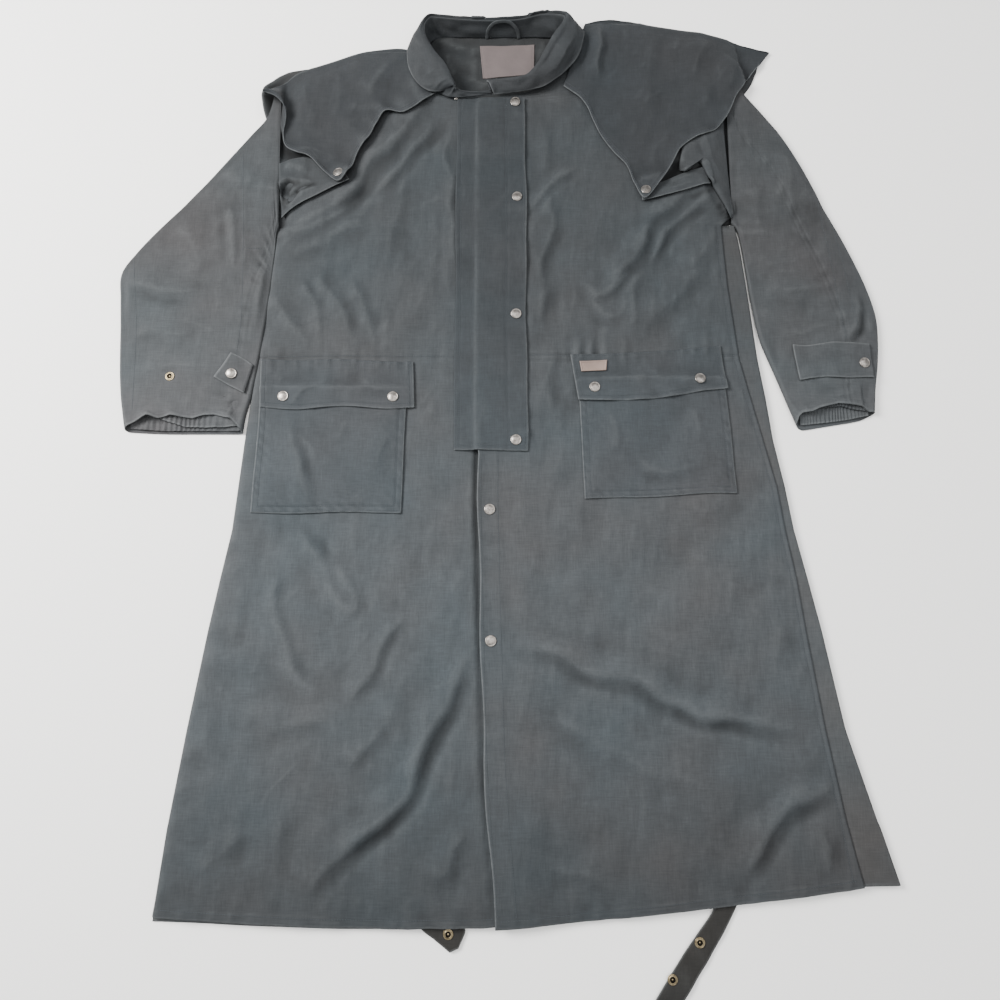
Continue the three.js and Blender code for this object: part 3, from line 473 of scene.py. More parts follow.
def ranged(tree, value, below, above):
    """A value of 0 to 1 brought onto the range from below to above."""
    return new_node(tree, "MapRange", Value=value, To_Min=below, To_Max=above).outputs[0]


def set_skin(tree, skin, values):
    for label, value in values.items():
        feed(tree, skin.inputs[label], value)


def waxed_cotton(name, cool, warm, light=1.0, worn=(118, 121, 121), rubbed=0.3, rough=0.78):
    """Waxed cotton: slate hue to brown grey in patches, paler where it is rubbed, with a dull sheen; light
    scales its brightness as painted light.
    """
    material, tree, skin, place = new_material(name)
    mottle = group_node(tree, MOTTLE, place)
    weave = group_node(tree, WEAVE, place)
    painted = {}
    for label in ("wear", "fade"):
        attribute = tree.nodes.new("ShaderNodeAttribute")
        attribute.attribute_name = label
        painted[label] = attribute.outputs["Fac"]
    # the 'fade' factor is painted light and shade: lighter mid-length, darker at hem, collar and in creases
    factor = painted["fade"]
    for source, swing in ((mottle["Light Mask"], 0.14), (weave["Tone"], 0.5)):
        factor = math_node(tree, "MULTIPLY", factor, ranged(tree, source, 1 - swing, 1 + swing))
    dimmed = new_node(tree, "VectorMath")
    dimmed.operation = "SCALE"
    feed(tree, dimmed.inputs[0], colour_mix(tree, mottle["Hue Mask"], linear(*cool), linear(*warm)))
    feed(tree, dimmed.inputs["Scale"], math_node(tree, "MULTIPLY", factor, light))
    rub = group_node(tree, RUBBED, place, Wear=painted["wear"], Amount=rubbed)
    bump = new_node(tree, "Bump", Strength=0.35, Distance=0.0018, Height=weave["Height"])
    set_skin(tree, skin, {
        "Base Color": colour_mix(tree, rub["Mask"], dimmed.outputs[0], linear(*worn)),
        "Normal": bump.outputs["Normal"],
        "Roughness": rough,
        "IOR": 1.45,
        "Specular IOR Level": 0.2,
        "Sheen Weight": 0.02,
        "Sheen Roughness": 0.5,
    })
    return material


COOL, WARM = (48, 54, 57), (53, 52, 52)
# the back's copy of the cloth is a little lighter: painted light
CLOTH_BACK = waxed_cotton("cloth_back_painted_light", COOL, (58, 55, 53), 1.05)
CLOTH = waxed_cotton("cloth_front", COOL, WARM)


def dress(thing, material, node):
    """Cloth laid flat that takes a solid's place: gives it its material, hides the solid and hangs it on
    the root body.
    """
    thing.data.materials.append(material)
    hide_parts(node)
    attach(thing, "root")


BODY = [
    # y, left edge x, right edge x, right side seam x
    (4, -431.5, 499, 451),
    (111, -421.5, 480, 437),
    (233, -405.5, 446, 418),
    (360, -387, 425, 402),
    (426, -376, 412, 395),
    (494, -364, 398, 384),
    (553, -359.5, 390, 377),
    (620, -354.5, 378, 362),
    (678, -349, 372, 349),
    (737, -342.5, 364, 336),
    (844, -332.5, 355, 326),
    (906, -328.5, 349, 323),
    (940, -326, 344, 322),
]
BACK_WALL, GAP = 1.6, 0.5
HOLE_LEFT = ((940, -331.0), (1165, -338.0))
HOLE_RIGHT = ((948, 345.4), (1215, 350.0))


def hole_x(hole, y):
    (y0, x0), (y1, x1) = hole
    return x0 + (x1 - x0) * (y - y0) / (y1 - y0)


def lift(y):
    return 2.0 * ease((y - 968) / 28)


def hem_rise(x, y):
    """The hem climbs to the right, because the coat lies a little skewed there."""
    return 44 * ease((x + 60) / 560) * np.clip(1 - y / 120, 0, 1)


def hem_drop(x, y):
    """Left of the middle the hem sags towards the lap."""
    sag = np.interp(x, [-430, -372, -320, -205, -120, -22, 60], [0, 2, 5, 9, 9, 6.5, 0])
    return sag * np.clip(1 - y / 120, 0, 1)


BACK_TOP = [
    (1160, -337.2, 348.6),
    (1172, -328, 348.2),
    (1185, -314, 348.5),
    (1195, -290, 348.8),
    (1205, -255, 349.0),
    (1227, -190, 349.2),
    (1238, -126, 347.0),
    (1254, -118, 300.0),
    (1266, -106, 232.0),
]
NECK_FOLDS = [
    # path, width, rise, lean
    ([(-112, 1262), (-84, 1250), (-66, 1244), (-44, 1247)], 7, 4.0, 0.2),
    ([(-84, 1240), (-78, 1216), (-66, 1194)], 6, 2.6, 0.0),
    ([(-44, 1256), (-40, 1220), (-44, 1180)], 5, 1.2, 0.0),
    ([(64, 1262), (70, 1240), (66, 1216)], 5, 2.2, 0.0),
    ([(-60, 1190), (-30, 1180), (10, 1184)], 6, 1.6, 0.0),
]
sections = []
for y in np.concatenate([np.arange(4, 946, 7.5), np.arange(950, 1160, 8), np.arange(1160, 1267, 3.5)]):
    z0 = float(lift(y)) + BACK_WALL
    if y < 946:
        xl, xr, xs = [float(look(BODY, y, c)) for c in (1, 2, 3)]
        arc = np.radians(np.linspace(-90, 90, 9)[1:])
        x = np.concatenate([np.linspace(xl, xr - 3.5, 40), xr - 3.5 + 2.7 * np.cos(arc),
            np.linspace(xr - 8, xs + 0.4, 9)])
        z = np.concatenate([np.full(40, z0), z0 - 0.8 + 3.5 + 2.7 * np.sin(arc), np.full(9, z0 + 5.4)])
    else:
        if y < 1160:
            xl, xr = hole_x(HOLE_LEFT, y) + 0.4, hole_x(HOLE_RIGHT, y) - 0.4
        else:
            xl, xr = [float(look(BACK_TOP, y, c)) for c in (1, 2)]
        # closer together in the middle, which shows inside the neck
        x = np.concatenate([np.linspace(xl, max(xl, -114) + 1, 5)[:-1],
            np.linspace(max(xl, -114) + 1, 112, 49), np.linspace(112, xr, 5)[1:]])
        z = (
            z0 + folds(x, 0 * x + y, NECK_FOLDS)
            + 0.35 * waves(x, 0 * x + y, 30, 5) * float(ease((y - 1150) / 30))
        )
    sections.append(np.stack([x, y + hem_rise(x, y) - hem_drop(x, y), z], -1))
back_inside = np.array(sections)
back = sheet_object("back_cloth", back_inside, wall=1.5, edges="s")


def paint_shade(thing, shaded):
    """Makes a piece darker where the given function of x and y is above 0: painted shade in hollows and
    shadowed places.
    """
    fade = thing.data.attributes["fade"].data
    values = np.empty(len(fade), np.float32)
    fade.foreach_get("value", values)
    places = np.array([v.co for v in thing.data.vertices]) * 1000 - SHIFT
    fade.foreach_set("value", (values * (1 - shaded(places[:, 0], places[:, 1]))).astype(np.float32))


def painted_shade_along(table):
    """Painted shade along deep hollows, as (path, width, share of darkening), for the function above."""
    def shaded(x, y):
        shares = [share * bell(path_distance(x, y, path)[0], width) for path, width, share in table]
        return np.maximum.reduce(shares)
    return shaded


# painted shade inside the neck: the back is painted darker up towards the collar
paint_shade(back, lambda x, y: 0.46 * ease((y - 1120) / 50))
dress(back, CLOTH_BACK, "back")
pile_up(back_inside[:, :40])


# The back cape: the layer below all others, flat on the floor, of the same waxed cotton. Its
# shoulder edge is sewn to the two front capes.
CAPE_BACK = [
    # y, left x, right x
    (1004, -205, 215),
    (1022, -262, 270),
    (1050, -300, 305),
    (1095, -338, 330),
    (1116, -351, 341),
    (1140, -356, 352),
    (1165, -356, 372),
    (1182, -345, 384),
    (1196, -331, 390),
    (1206, -306, 394),
    (1224, -200, 396),
    (1236, -120, 380),
    (1250, -112, 336),
    (1260, -96, 280),
]
rows = through(CAPE_BACK, 90)
plan = rows_between(rows[:, [1, 0]], rows[:, [2, 0]],
    np.concatenate([np.linspace(0, 0.06, 16), np.linspace(0.08, 1, 46)]))
from_left = plan[..., 0] - plan[:, :1, 0]
curl_height = np.interp(plan[..., 1], [1095, 1116, 1135, 1150, 1166, 1182, 1196, 1208, 1216],
    [0, 7, 15, 19, 15, 8, 4, 1, 0])
top = np.dstack([plan, 1.5 + curl_height * bell(from_left, 9)])
cape_back = sheet_object("cape_back_cloth", top, wall=1.45, edges="s")
dress(cape_back, CLOTH_BACK, "cape_back")
pile_up(top[:, 17:])

# The two fronts: waxed cotton panels from the hem to the neck, felled to the back at the sides.
# The right front laps over the left below the storm flap. Their folds are those of the photo,
# as it was pulled straight after lying folded.
BODY_HEIGHT, LAP_STEP = 8.4, 2.6
WAIST_LEFT, WAIST_RIGHT = 741, 742
PLACKET = 27
FOLDS_LEFT = [
    # path, width, rise
    ([(-96, 1160), (-113, 1128), (-142, 1091), (-164, 1066), (-190, 1029), (-214, 992), (-249, 963),
        (-300, 936)], 7, 6.5),
    ([(-92, 1132), (-106, 1098), (-134, 1056), (-160, 1018), (-184, 984)], 6, 4.2),
    ([(-200, 985), (-240, 950), (-284, 926), (-322, 905)], 6, 3.6),
    ([(-188, 959), (-233, 927), (-290, 904), (-318, 880)], 7, 2.8),
    ([(-118, 1060), (-140, 1000), (-152, 930), (-150, 870)], 9, 1.8),
    ([(-318, 850), (-305, 815), (-284, 778), (-271, 747)], 4.5, 2.4),
    ([(-292, 866), (-270, 830), (-254, 790), (-249, 750)], 4.5, 2.0),
    ([(-262, 880), (-236, 830), (-208, 773), (-191, 747)], 5, 2.4),
    ([(-214, 862), (-192, 820), (-178, 780), (-168, 750)], 5, 1.7),
    ([(-160, 800), (-150, 770), (-146, 748)], 4, 1.3),
    ([(-80, 1110), (-71, 1000), (-65, 888), (-68, 810)], 4.5, 2.2),
    ([(-98, 980), (-92, 900), (-96, 820)], 7, 1.4),
    ([(-29, 350), (-39, 321), (-58, 283), (-77, 246), (-96, 203), (-112, 166), (-126, 142), (-151, 118),
        (-188, 89), (-212, 65), (-229, 37), (-240, 2)], 5.5, 6.0),
    ([(-117, 390), (-132, 367), (-151, 341), (-170, 309), (-182, 283), (-193, 252)], 4, 3.2),
    ([(-276, 500), (-256, 473), (-234, 446), (-220, 413), (-203, 393), (-205, 360)], 4.5, 2.6),
    ([(-222, 452), (-194, 413), (-197, 366)], 4.5, 2.4),
    ([(-297, 445), (-299, 399), (-288, 367), (-276, 334), (-254, 296), (-226, 278)], 4, 2.0),
    ([(-352, 241), (-296, 233), (-245, 239), (-190, 231)], 7, 2.4),
    ([(-148, 240), (-173, 209), (-198, 184)], 4.5, 2.2),
    ([(-137, 490), (-123, 453), (-116, 392)], 6, 1.7),
    ([(-268, 130), (-275, 89), (-285, 44)], 6, 2.2),
    ([(-318, 120), (-346, 84), (-376, 50)], 7, 1.8),
    ([(-34, 116), (-60, 80), (-80, 44)], 6, 1.8),
    ([(-384, 330), (-372, 240), (-380, 150)], 9, 1.6),
    ([(-345, 470), (-340, 400), (-350, 330)], 8, 1.6),
    ([(-100, 330), (-130, 270), (-150, 220)], 8, 1.6),
]
FOLDS_RIGHT = [
    ([(312, 1010), (295, 1003), (259, 975), (222, 943), (204, 912), (191, 885), (150, 845)], 5.5, 5.2),
    ([(325, 998), (286, 971), (251, 939), (225, 904), (206, 868)], 5, 3.4),
    ([(104, 866), (129, 837), (140, 829), (161, 840), (196, 878)], 4, 2.6),
    ([(112, 846), (143, 805), (163, 799), (192, 830)], 4.5, 2.4),
    ([(206, 890), (196, 826), (186, 765)], 7, 2.2),
    ([(318, 895), (273, 849), (236, 811), (192, 768)], 8, 2.2),
    ([(330, 950), (300, 900), (262, 866)], 7, 1.8),
    ([(82, 1010), (67, 904), (65, 826), (70, 750)], 5.5, 3.0),
    ([(66, 1130), (72, 1060), (68, 1000)], 7, 1.6),
    ([(118, 1045), (77, 1000), (36, 953)], 3.5, 2.2),
    ([(70, 770), (73, 698), (92, 620)], 6, 2.0),
    ([(326, 552), (300, 528), (262, 500)], 8, 2.0),
    ([(130, 560), (110, 500), (116, 450)], 9, 1.4),
    ([(-4, 343), (40, 330), (79, 321), (130, 302), (163, 293), (195, 283), (223, 264), (258, 249),
        (310, 243), (361, 236), (386, 227), (402, 204)], 5.5, 4.8),
    ([(434, 172), (399, 150), (373, 138), (353, 124), (332, 100), (318, 77), (300, 40)], 5, 4.6),
    ([(36, 275), (77, 246), (153, 196), (285, 146)], 9, 2.0),
    ([(352, 420), (374, 360), (362, 290)], 9, 1.5),
    ([(60, 66), (100, 56), (140, 60)], 6, 1.6),
    ([(404, 128), (412, 86), (416, 44)], 6, 2.2),
    ([(150, 470), (190, 420), (240, 390)], 10, 1.3),
]


def puckers(along, away, size, seed, depth=0.7, reach=10.0):
    """Small ripples that a line of stitches draws up, dying out away from it."""
    crest = waves(along, away * 0.12, size, seed)
    return depth * crest * np.exp(-np.abs(away) / reach)


def unevenness(x, y, seed, amount=1.0):
    """What no table names: slow swells, half-flattened creases and fine rubbed wrinkles."""
    z = (
        0.8 * waves(x, y, 140, seed) + 0.22 * waves(x, y, 55, seed + 1, 1.0, 2.5)
        + 0.05 * waves(x, y, 12, seed + 4, 1.4, 3)
    )
    z += 0.3 * creased(x, y, 70, seed + 2, 1.2, 3) + 0.11 * creased(x, y, 30, seed + 3, 0.7, 3.5)
    z += 0.13 * waves(x, y, 19, seed + 5, 1.5, 5)
    return amount * z


def round_edge(away, width, low, high):
    """Height over a turned edge: a quarter round from low to high."""
    t = np.clip(away / width, 0, 1)
    return low + (high - low) * np.sqrt(np.clip(1 - (1 - t) ** 2, 0, 1))


def hem_band(away, width=11.0, rise=0.7):
    """The turned-up hem: one layer thicker, with the stitches sunk at its inner edge."""
    step = rise * (1 - ease((away - width) / 2.0))
    return step - 0.45 * bell(away - width + 1.5, 1.3)


def front_rows(edge_left, edge_right, heights):
    """Row ends for a front: its left and right edges at those heights."""
    left = np.array([edge_left(y) for y in heights])
    right = np.array([edge_right(y) for y in heights])
    return left, right


FRONT_EDGE = [
    # y, x of the right front's free edge
    (1, -6),
    (64, -11),
    (123, -16),
    (196, -21),
    (270, -23),
    (400, -27),
    (535, -30),
    (1150, -30),
]


def left_outer(y):
    if y < 945:
        return (float(look(BODY, y, 1)) + max(0, (y - 936)) * -1.2, y)
    if y < 1160:
        return (hole_x(HOLE_LEFT, y) + 0.4, y)
    return (float(np.interp(y, [1160, 1180, 1196, 1208, 1222], [-337, -329, -300, -262, -205])), y)


def left_inner(y):
    return (float(np.interp(y, [1151, 1156, 1175, 1192, 1206, 1222],
        [18, -76, -102, -108, -112, -116])), y - 8 * max(0, 1 - y / 30))


heights = np.concatenate([np.arange(10, 30, 2.5), np.arange(30, 1150, 4.3), np.arange(1150, 1221, 3.5)])
left, right = front_rows(left_outer, left_inner, heights)
plan = rows_between(left, right, spread(445, 4.1, 2.2, 13))
plan[..., 1] -= hem_drop(plan[..., 0], plan[..., 1])
x, y = plan[..., 0], plan[..., 1]
low = lift(y) + BACK_WALL + GAP
high = (
    BODY_HEIGHT + furrows(x, y, FOLDS_LEFT) * (1 - 0.7 * ease((-x - 150) / 40) * ease((y - 1065) / 50))
    + unevenness(x, y, 11)
)
high += small_creases(x, y, 13, 70, 76, 130, 4.5, 0.6) + small_creases(x, y, 14, 60, 40, 70, 3.6, 0.45)
high += puckers(x, y - WAIST_LEFT, 19, 21, 0.9, 16) * (0.5 + 0.5 * waves(x, y * 0, 110, 23))
# hollows above, inside and below the bunched end of the cape strap
high += folds(x, y, [([(-342, 1100), (-325, 1066), (-308, 1058), (-284, 1060)], 11, -14.0, 0.0),
    ([(-334, 1000), (-312, 998), (-290, 1006)], 13, -8.0, 0.0),
    ([(-334, 985), (-330, 955), (-328, 925)], 9, -11.0, 0.0)])
side = np.where(y < 950, x - look(BODY, y, 1), 60.0)
shoulder = path_distance(x, y, [(-337, 1166), (-330, 1173), (-316, 1187), (-287, 1199), (-246, 1212),
    (-190, 1234)])[0]
shoulder = np.where(y > 1140, shoulder, 60.0)
past_edge = x - look(FRONT_EDGE, y, 1)
under_lap = ease((past_edge + 2) / 14)
high = high * (1 - under_lap) + BODY_HEIGHT * under_lap
high -= np.interp(y, [0, 300, 420, 590, 615, 650], [1.5, 2.6, 4.2, 5.0, 3.0, 0]) * bell(past_edge + 2.5,
    4.5)
high += 1.1 * waves(y, side * 0.3, 48, 25) * np.exp(-side / 26) * (y < 930)
z = np.minimum(round_edge(side, 15, low, high), round_edge(shoulder, 20, low, high))
from_hem = y - y[0]
z = np.maximum(z, low) + 1.4 + hem_band(from_hem) * (1 - under_lap)
z += 0.4 * waves(x, y, 40, 31) * np.exp(-from_hem / 30)
z -= 1.3 * bell(y - WAIST_LEFT, 1.8) + 0.7 * bell(y - (WAIST_LEFT - 8), 1.6)
left_top = np.dstack([plan, z])
front_left = sheet_object("front_left_cloth", left_top, edges="s", along_z=True)
paint_shade(front_left, painted_shade_along([
    # painted shade in the hollows above the bunched strap, and at the armpit
    ([(-344, 1102), (-326, 1068), (-308, 1058), (-288, 1060)], 13, 0.78),
    ([(-334, 988), (-330, 955), (-328, 925)], 8, 0.6),
]))
dress(front_left, CLOTH, "front_left")
pile_up(left_top)

def right_inner(y):
    if y > 1148:
        return (float(np.interp(y, [1148, 1158, 1162, 1180, 1205, 1230, 1270],
            [-30, 26, 40, 78, 102, 112, 128])), y)
    return (float(look(FRONT_EDGE, y, 1)) + 1.4 * math.sin(y / 31) * (y < 600), y - 3.5
        * max(0, 1 - y / 60))


def right_outer(y):
    up = y + 44 * max(0, 1 - y / 120)
    if y < 942:
        return (float(look(BODY, y, 3)) + 1.0, up)
    if y < 962:
        return (float(np.interp(y, [942, 962], [323, 345.0])), y)
    if y < 1215:
        return (hole_x(HOLE_RIGHT, y) - 0.4, y)
    return (float(np.interp(y, [1215, 1244, 1260, 1270], [349.4, 347, 304, 236])), y)


heights = np.concatenate([np.arange(1, 21, 2.5), np.arange(21, 1150, 4.3), np.arange(1150, 1271, 4)])
left, right = front_rows(right_inner, right_outer, heights)
plan = rows_between(left, right, spread(440, 4.1, 2.2, 13))
plan[..., 1] -= 16 * np.linspace(0, 1, plan.shape[1]) * (1
    - np.linspace(0, 1, plan.shape[1])) * np.clip(1 - heights / 120, 0, 1)[:, None]
x, y = plan[..., 0], plan[..., 1]
low = lift(y) + BACK_WALL + GAP
cape_free = 1 - 0.7 * ease((y - 1010) / 50) * ease((x - 120) / 40)
high = (
    BODY_HEIGHT + LAP_STEP * (1 - ease((x - 24) / 40))
    + unevenness(x, y, 41) * (0.35 + 0.65 * ease(x / 40))
)
high += furrows(x, y, FOLDS_RIGHT) * cape_free * ease((x - 10) / 24)
high += folds(x, y, [([(276, 1046), (300, 1000), (322, 962)], 9, 5.0, 0.2)]) * cape_free
crinkles = small_creases(x, y, 43, 60, 84, 120, 4.5, 0.5) + small_creases(x, y, 44, 60, 140, 80, 3.8, 0.45)
high += crinkles * ease((x - 10) / 20)
# hollows beside the cape strap, where the cloth bunches at the armhole
high += folds(x, y, [([(234, 1002), (248, 1016), (260, 1032), (266, 1052)], 10, -12.0, 0.0),
    ([(272, 1026), (286, 1033), (300, 1042)], 8, -12.0, 0.0)])
high -= 6 * bell(x - hole_x(HOLE_RIGHT, y) + 7.5, 4) * ease((y - 944) / 8) * ease((1135 - y) / 10)
high += puckers(x, y - WAIST_RIGHT, 19, 51, 0.9, 16) * ease((x - 40) / 30) * (0.5 + 0.5
    * waves(x, y * 0, 110, 53))
shoulder = path_distance(x, y, [(350, 1216), (349, 1250), (300, 1263), (225, 1275), (140, 1287)])[0]
shoulder = np.where(y > 1190, shoulder, 60.0)
z = round_edge(shoulder, 20, low, high)
from_hem = np.maximum(0, y - plan[0, :, 1][None, :])
z = np.maximum(z, low) + 1.4 + hem_band(from_hem)
z += 0.4 * waves(x, y, 40, 61) * np.exp(-from_hem / 30)
free = x - look(FRONT_EDGE, y, 1)
placket = np.where(y < 1140, 0.8 * (1 - ease((free - 28) / 2.5)) - 0.5 * bell(free - PLACKET, 1.4), 0)
z += placket + 0.8 * waves(y, x * 0.3, 34, 71) * np.exp(-free / 16) * (y < 600)
z += 3.8 * np.exp(-free / 9) * np.interp(y, [0, 60, 300, 420, 560, 602, 640],
    [0.2, 0.3, 0.4, 0.8, 1.0, 0.7, 0])
seam = look(BODY, y, 3) - x
z += 0.7 * waves(y, seam * 0.3, 40, 72) * np.exp(-seam / 24) * (y < 900) * ease((seam - 8) / 8)
z -= (z - low - 8.0) * bell(seam, 9) * (y < 944)
z -= 0.5 * bell(seam - 6, 1.5) * (y < 940)
z -= (1.3 * bell(y - WAIST_RIGHT, 1.8) + 0.7 * bell(y - (WAIST_RIGHT - 8), 1.6)) * ease((x - 38) / 4)
right_top = np.dstack([plan, z])
front_right = sheet_object("front_right_cloth", right_top, edges="sw", along_z=True)
paint_shade(front_right, painted_shade_along([
    # painted shade in the hollows between cape and strap, under the fold's nose, along the armhole, and
    # below the strap
    ([(232, 1000), (248, 1016), (260, 1032), (268, 1058)], 13, 0.78),
    ([(272, 1026), (286, 1033), (302, 1043)], 7, 0.8),
    ([(336, 1132), (338, 1080), (341, 1000), (343, 950)], 4, 0.75),
    ([(284, 986), (300, 994), (312, 999)], 5, 0.5),
    ([(322, 972), (333, 950), (340, 930)], 6, 0.7),
]))
dress(front_right, CLOTH, "front_right")
pile_up(right_top)


# Cape straps: short strips sewn into the armholes; each holds a cape point down with its snap.
STRAPS = [
    # name, rows of lower x, y and upper x, y; seed; flat size in metres and its area
    ("cape_strap_left", [(-221, 1011, -229, 1026), (-233, 1005, -250, 1040), (-265, 989, -281, 1050),
        (-296, 973, -305, 1050), (-320, 955, -328, 1042)], 211, (0.108, 0.078), 0.0056),
    ("cape_strap_right", [(208, 980, 210, 1004), (226, 983, 230, 1008), (252, 989, 256, 1020),
        (283, 999, 282, 1030), (309, 1006, 305, 1037)], 221, (0.104, 0.042), 0.0034),
]
STRAP_FOLDS = {
    "cape_strap_left": [
        ([(-326, 1040), (-306, 1038), (-284, 1030)], 7, 6.0, 0.3),
        ([(-328, 1030), (-308, 1028), (-288, 1022), (-272, 1012)], 6, -3.0, 0.0),
        ([(-322, 972), (-323, 990), (-321, 1008), (-311, 1019), (-300, 1022)], 5, 6.5, 0.0),
        ([(-318, 980), (-316, 1000), (-310, 1011), (-298, 1008)], 5, -12.0, 0.0),
        ([(-306, 1016), (-294, 1015), (-280, 1008)], 4, 4.0, 0.0),
        ([(-316, 974), (-304, 989), (-296, 1001), (-272, 1007)], 4, -10.0, 0.0),
        ([(-312, 966), (-300, 984), (-288, 996), (-270, 1002)], 5, 4.5, 0.0),
    ],
    "cape_strap_right": [
        ([(292, 1030), (270, 1020), (244, 1008)], 7, 2.6, 0.2),
        ([(292, 1012), (270, 1004), (244, 997)], 6, 1.6, 0.1),
    ],
}
for name, table, seed, size, area in STRAPS:
    ends = through(table, 44)
    plan = rows_between(ends[:, :2], ends[:, 2:], spread(46, 2.2, 1.5, 6))
    x, y = plan[..., 0], plan[..., 1]
    z = pile_height(x, y, 8, 3) + 0.5 + 1.4 + folds(x, y, STRAP_FOLDS[name]) + 0.3 * unevenness(x, y, seed)
    z += 2.2 * np.exp(-side_distances(np.dstack([plan, z]))["w"] / 7)
    top = np.dstack([plan, z])
    strap = sheet_object(name + "_cloth", top, wall=1.3, edges="sw", along_z=True)
    if name == "cape_strap_left":
        # painted shade in the pits of the bunched strap
        paint_shade(strap, painted_shade_along([
            ([(-318, 978), (-317, 1000), (-311, 1012), (-298, 1009)], 4.5, 0.75),
            ([(-316, 972), (-304, 989), (-296, 1001), (-274, 1007)], 3.5, 0.65),
        ]))
    dress(strap, CLOTH, name)
    pile_up(top)

# A fold of the right front's own cloth, pulled up beside the armhole: it falls over the end of
# the cape strap and runs out to a point below it. It has the front's cloth and no seam of its own.
FRONT_FOLD = [
    # free edge x, y; armhole edge x, y
    (294, 1106, 334, 1124),
    (284, 1096, 334, 1116),
    (273, 1076, 334.3, 1108),
    (267, 1052, 334.6, 1098),
    (266, 1035, 335, 1089),
    (272, 1026, 335.2, 1082),
    (281, 1031, 335.4, 1076),
    (295, 1043, 335.8, 1064),
    (305, 1018, 336.6, 1040),
    (316, 996, 337.6, 1012),
    (327, 976, 338.6, 985),
    (338, 953, 341, 957),
]
ends = through(FRONT_FOLD, 90)
plan = rows_between(ends[:, :2], ends[:, 2:], spread(60, 1.4, 1.0, 8))
x, y = plan[..., 0], plan[..., 1]
sides = side_distances(plan)
to_armhole = sides["e"]
z = pile_height(x, y, 5, 3) + 0.4 + 1.3
below_cape = np.interp(x, [252, 266, 288, 305, 321, 335], [1036, 1062, 1079, 1086, 1094, 1111]) - y
rounded = np.sqrt(np.clip(1 - (1 - np.clip(sides["w"] / 9, 0, 1)) ** 2, 0, 1))
z += (
    5.5 * rounded * ease(to_armhole / 34 + 0.25) * ease((below_cape + 16) / 28)
    + 0.5 * unevenness(x, y, 229)
)
z += folds(x, y, [([(300, 1100), (312, 1050), (326, 1005)], 10, 2.4, 0.2),
    ([(284, 1090), (290, 1066), (300, 1050)], 8, -2.0, 0.0)])
front_fold_top = np.dstack([plan, z])
front_fold = sheet_object("front_right_fold", front_fold_top, wall=1.3, along_z=True)
front_fold.data.materials.append(CLOTH)
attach(front_fold, "root")

# The sleeves: two-piece tubes of waxed cotton lying flattened beside the body, set into the
# armholes under the cape and open at the cuff. A second seam runs down each near one edge.
SLEEVE_LEFT = [
    # outer x, outer y, inner x, inner y
    (-331, 1166, -324, 941),
    (-340, 1160, -326, 934),
    (-350, 1121, -327, 922),
    (-372, 1091, -326.8, 905),
    (-404, 1049, -327.6, 888),
    (-442, 1000, -329, 866),
    (-496, 940, -330.8, 843),
    (-528, 900, -332.8, 820),
    (-547, 867, -335, 797),
    (-545, 828, -337.3, 774),
    (-541, 785, -339.8, 751),
    (-538, 745, -342.4, 728),
    (-535, 712, -345.4, 704),
    (-531, 682, -349, 681),
    (-526, 657, -355, 658),
    (-521, 636, -358, 636),
]
SLEEVE_RIGHT = [
    (342, 1216, 339, 949),
    (352, 1208, 346, 940),
    (365, 1168, 349.6, 927),
    (394, 1127, 352.4, 909),
    (421, 1088, 354.2, 892),
    (447, 1038, 356, 874),
    (475, 972, 358, 854),
    (498, 922, 360, 833),
    (515, 880, 363, 811),
    (528, 842, 366, 788),
    (537, 802, 371, 763),
    (537, 766, 379, 739),
    (533, 728, 388, 714),
    (528, 700, 396, 691),
    (525, 680, 404, 668),
    (522, 659, 413, 645),
]
SLEEVE_FOLDS_LEFT = [
    ([(-404, 975), (-384, 935), (-390, 870)], 11, 5.0, 0.2),
    ([(-418, 968), (-400, 930), (-404, 872)], 9, -2.6, 0.0),
    ([(-336, 880), (-350, 835), (-345, 785)], 10, 3.0, 0.0),
    ([(-538, 855), (-490, 838), (-430, 842)], 12, 3.6, 0.2),
    ([(-530, 838), (-480, 820), (-440, 822)], 9, -2.0, 0.0),
    ([(-530, 770), (-480, 782), (-430, 768)], 13, 2.4, 0.2),
    ([(-470, 950), (-440, 900), (-425, 850)], 14, 2.6, 0.2),
    ([(-420, 1025), (-385, 1010), (-350, 1015)], 12, 2.4, 0.0),
    ([(-500, 720), (-455, 730), (-420, 722)], 10, 2.0, 0.0),
    ([(-372, 1010), (-371, 930), (-368, 850)], 5, 1.3, 0.0),
]
SLEEVE_FOLDS_RIGHT = [
    ([(514, 842), (524, 812), (510, 782), (494, 758)], 8, -4.0, 0.0),
    ([(503, 842), (513, 815), (498, 786), (482, 764)], 10, 5.0, 0.2),
    ([(528, 830), (535, 800), (526, 772)], 7, 3.0, 0.0),
    ([(412, 1080), (424, 1010), (430, 930)], 16, 3.0, 0.2),
    ([(368, 1040), (376, 980), (384, 905)], 12, 2.6, 0.0),
    ([(376, 850), (420, 838), (466, 846)], 12, 3.0, 0.2),
    ([(380, 828), (424, 815), (462, 822)], 9, -2.0, 0.0),
    ([(392, 782), (430, 776), (470, 790)], 11, 2.4, 0.0),
    ([(410, 700), (450, 706), (500, 700)], 10, 2.0, 0.0),
]


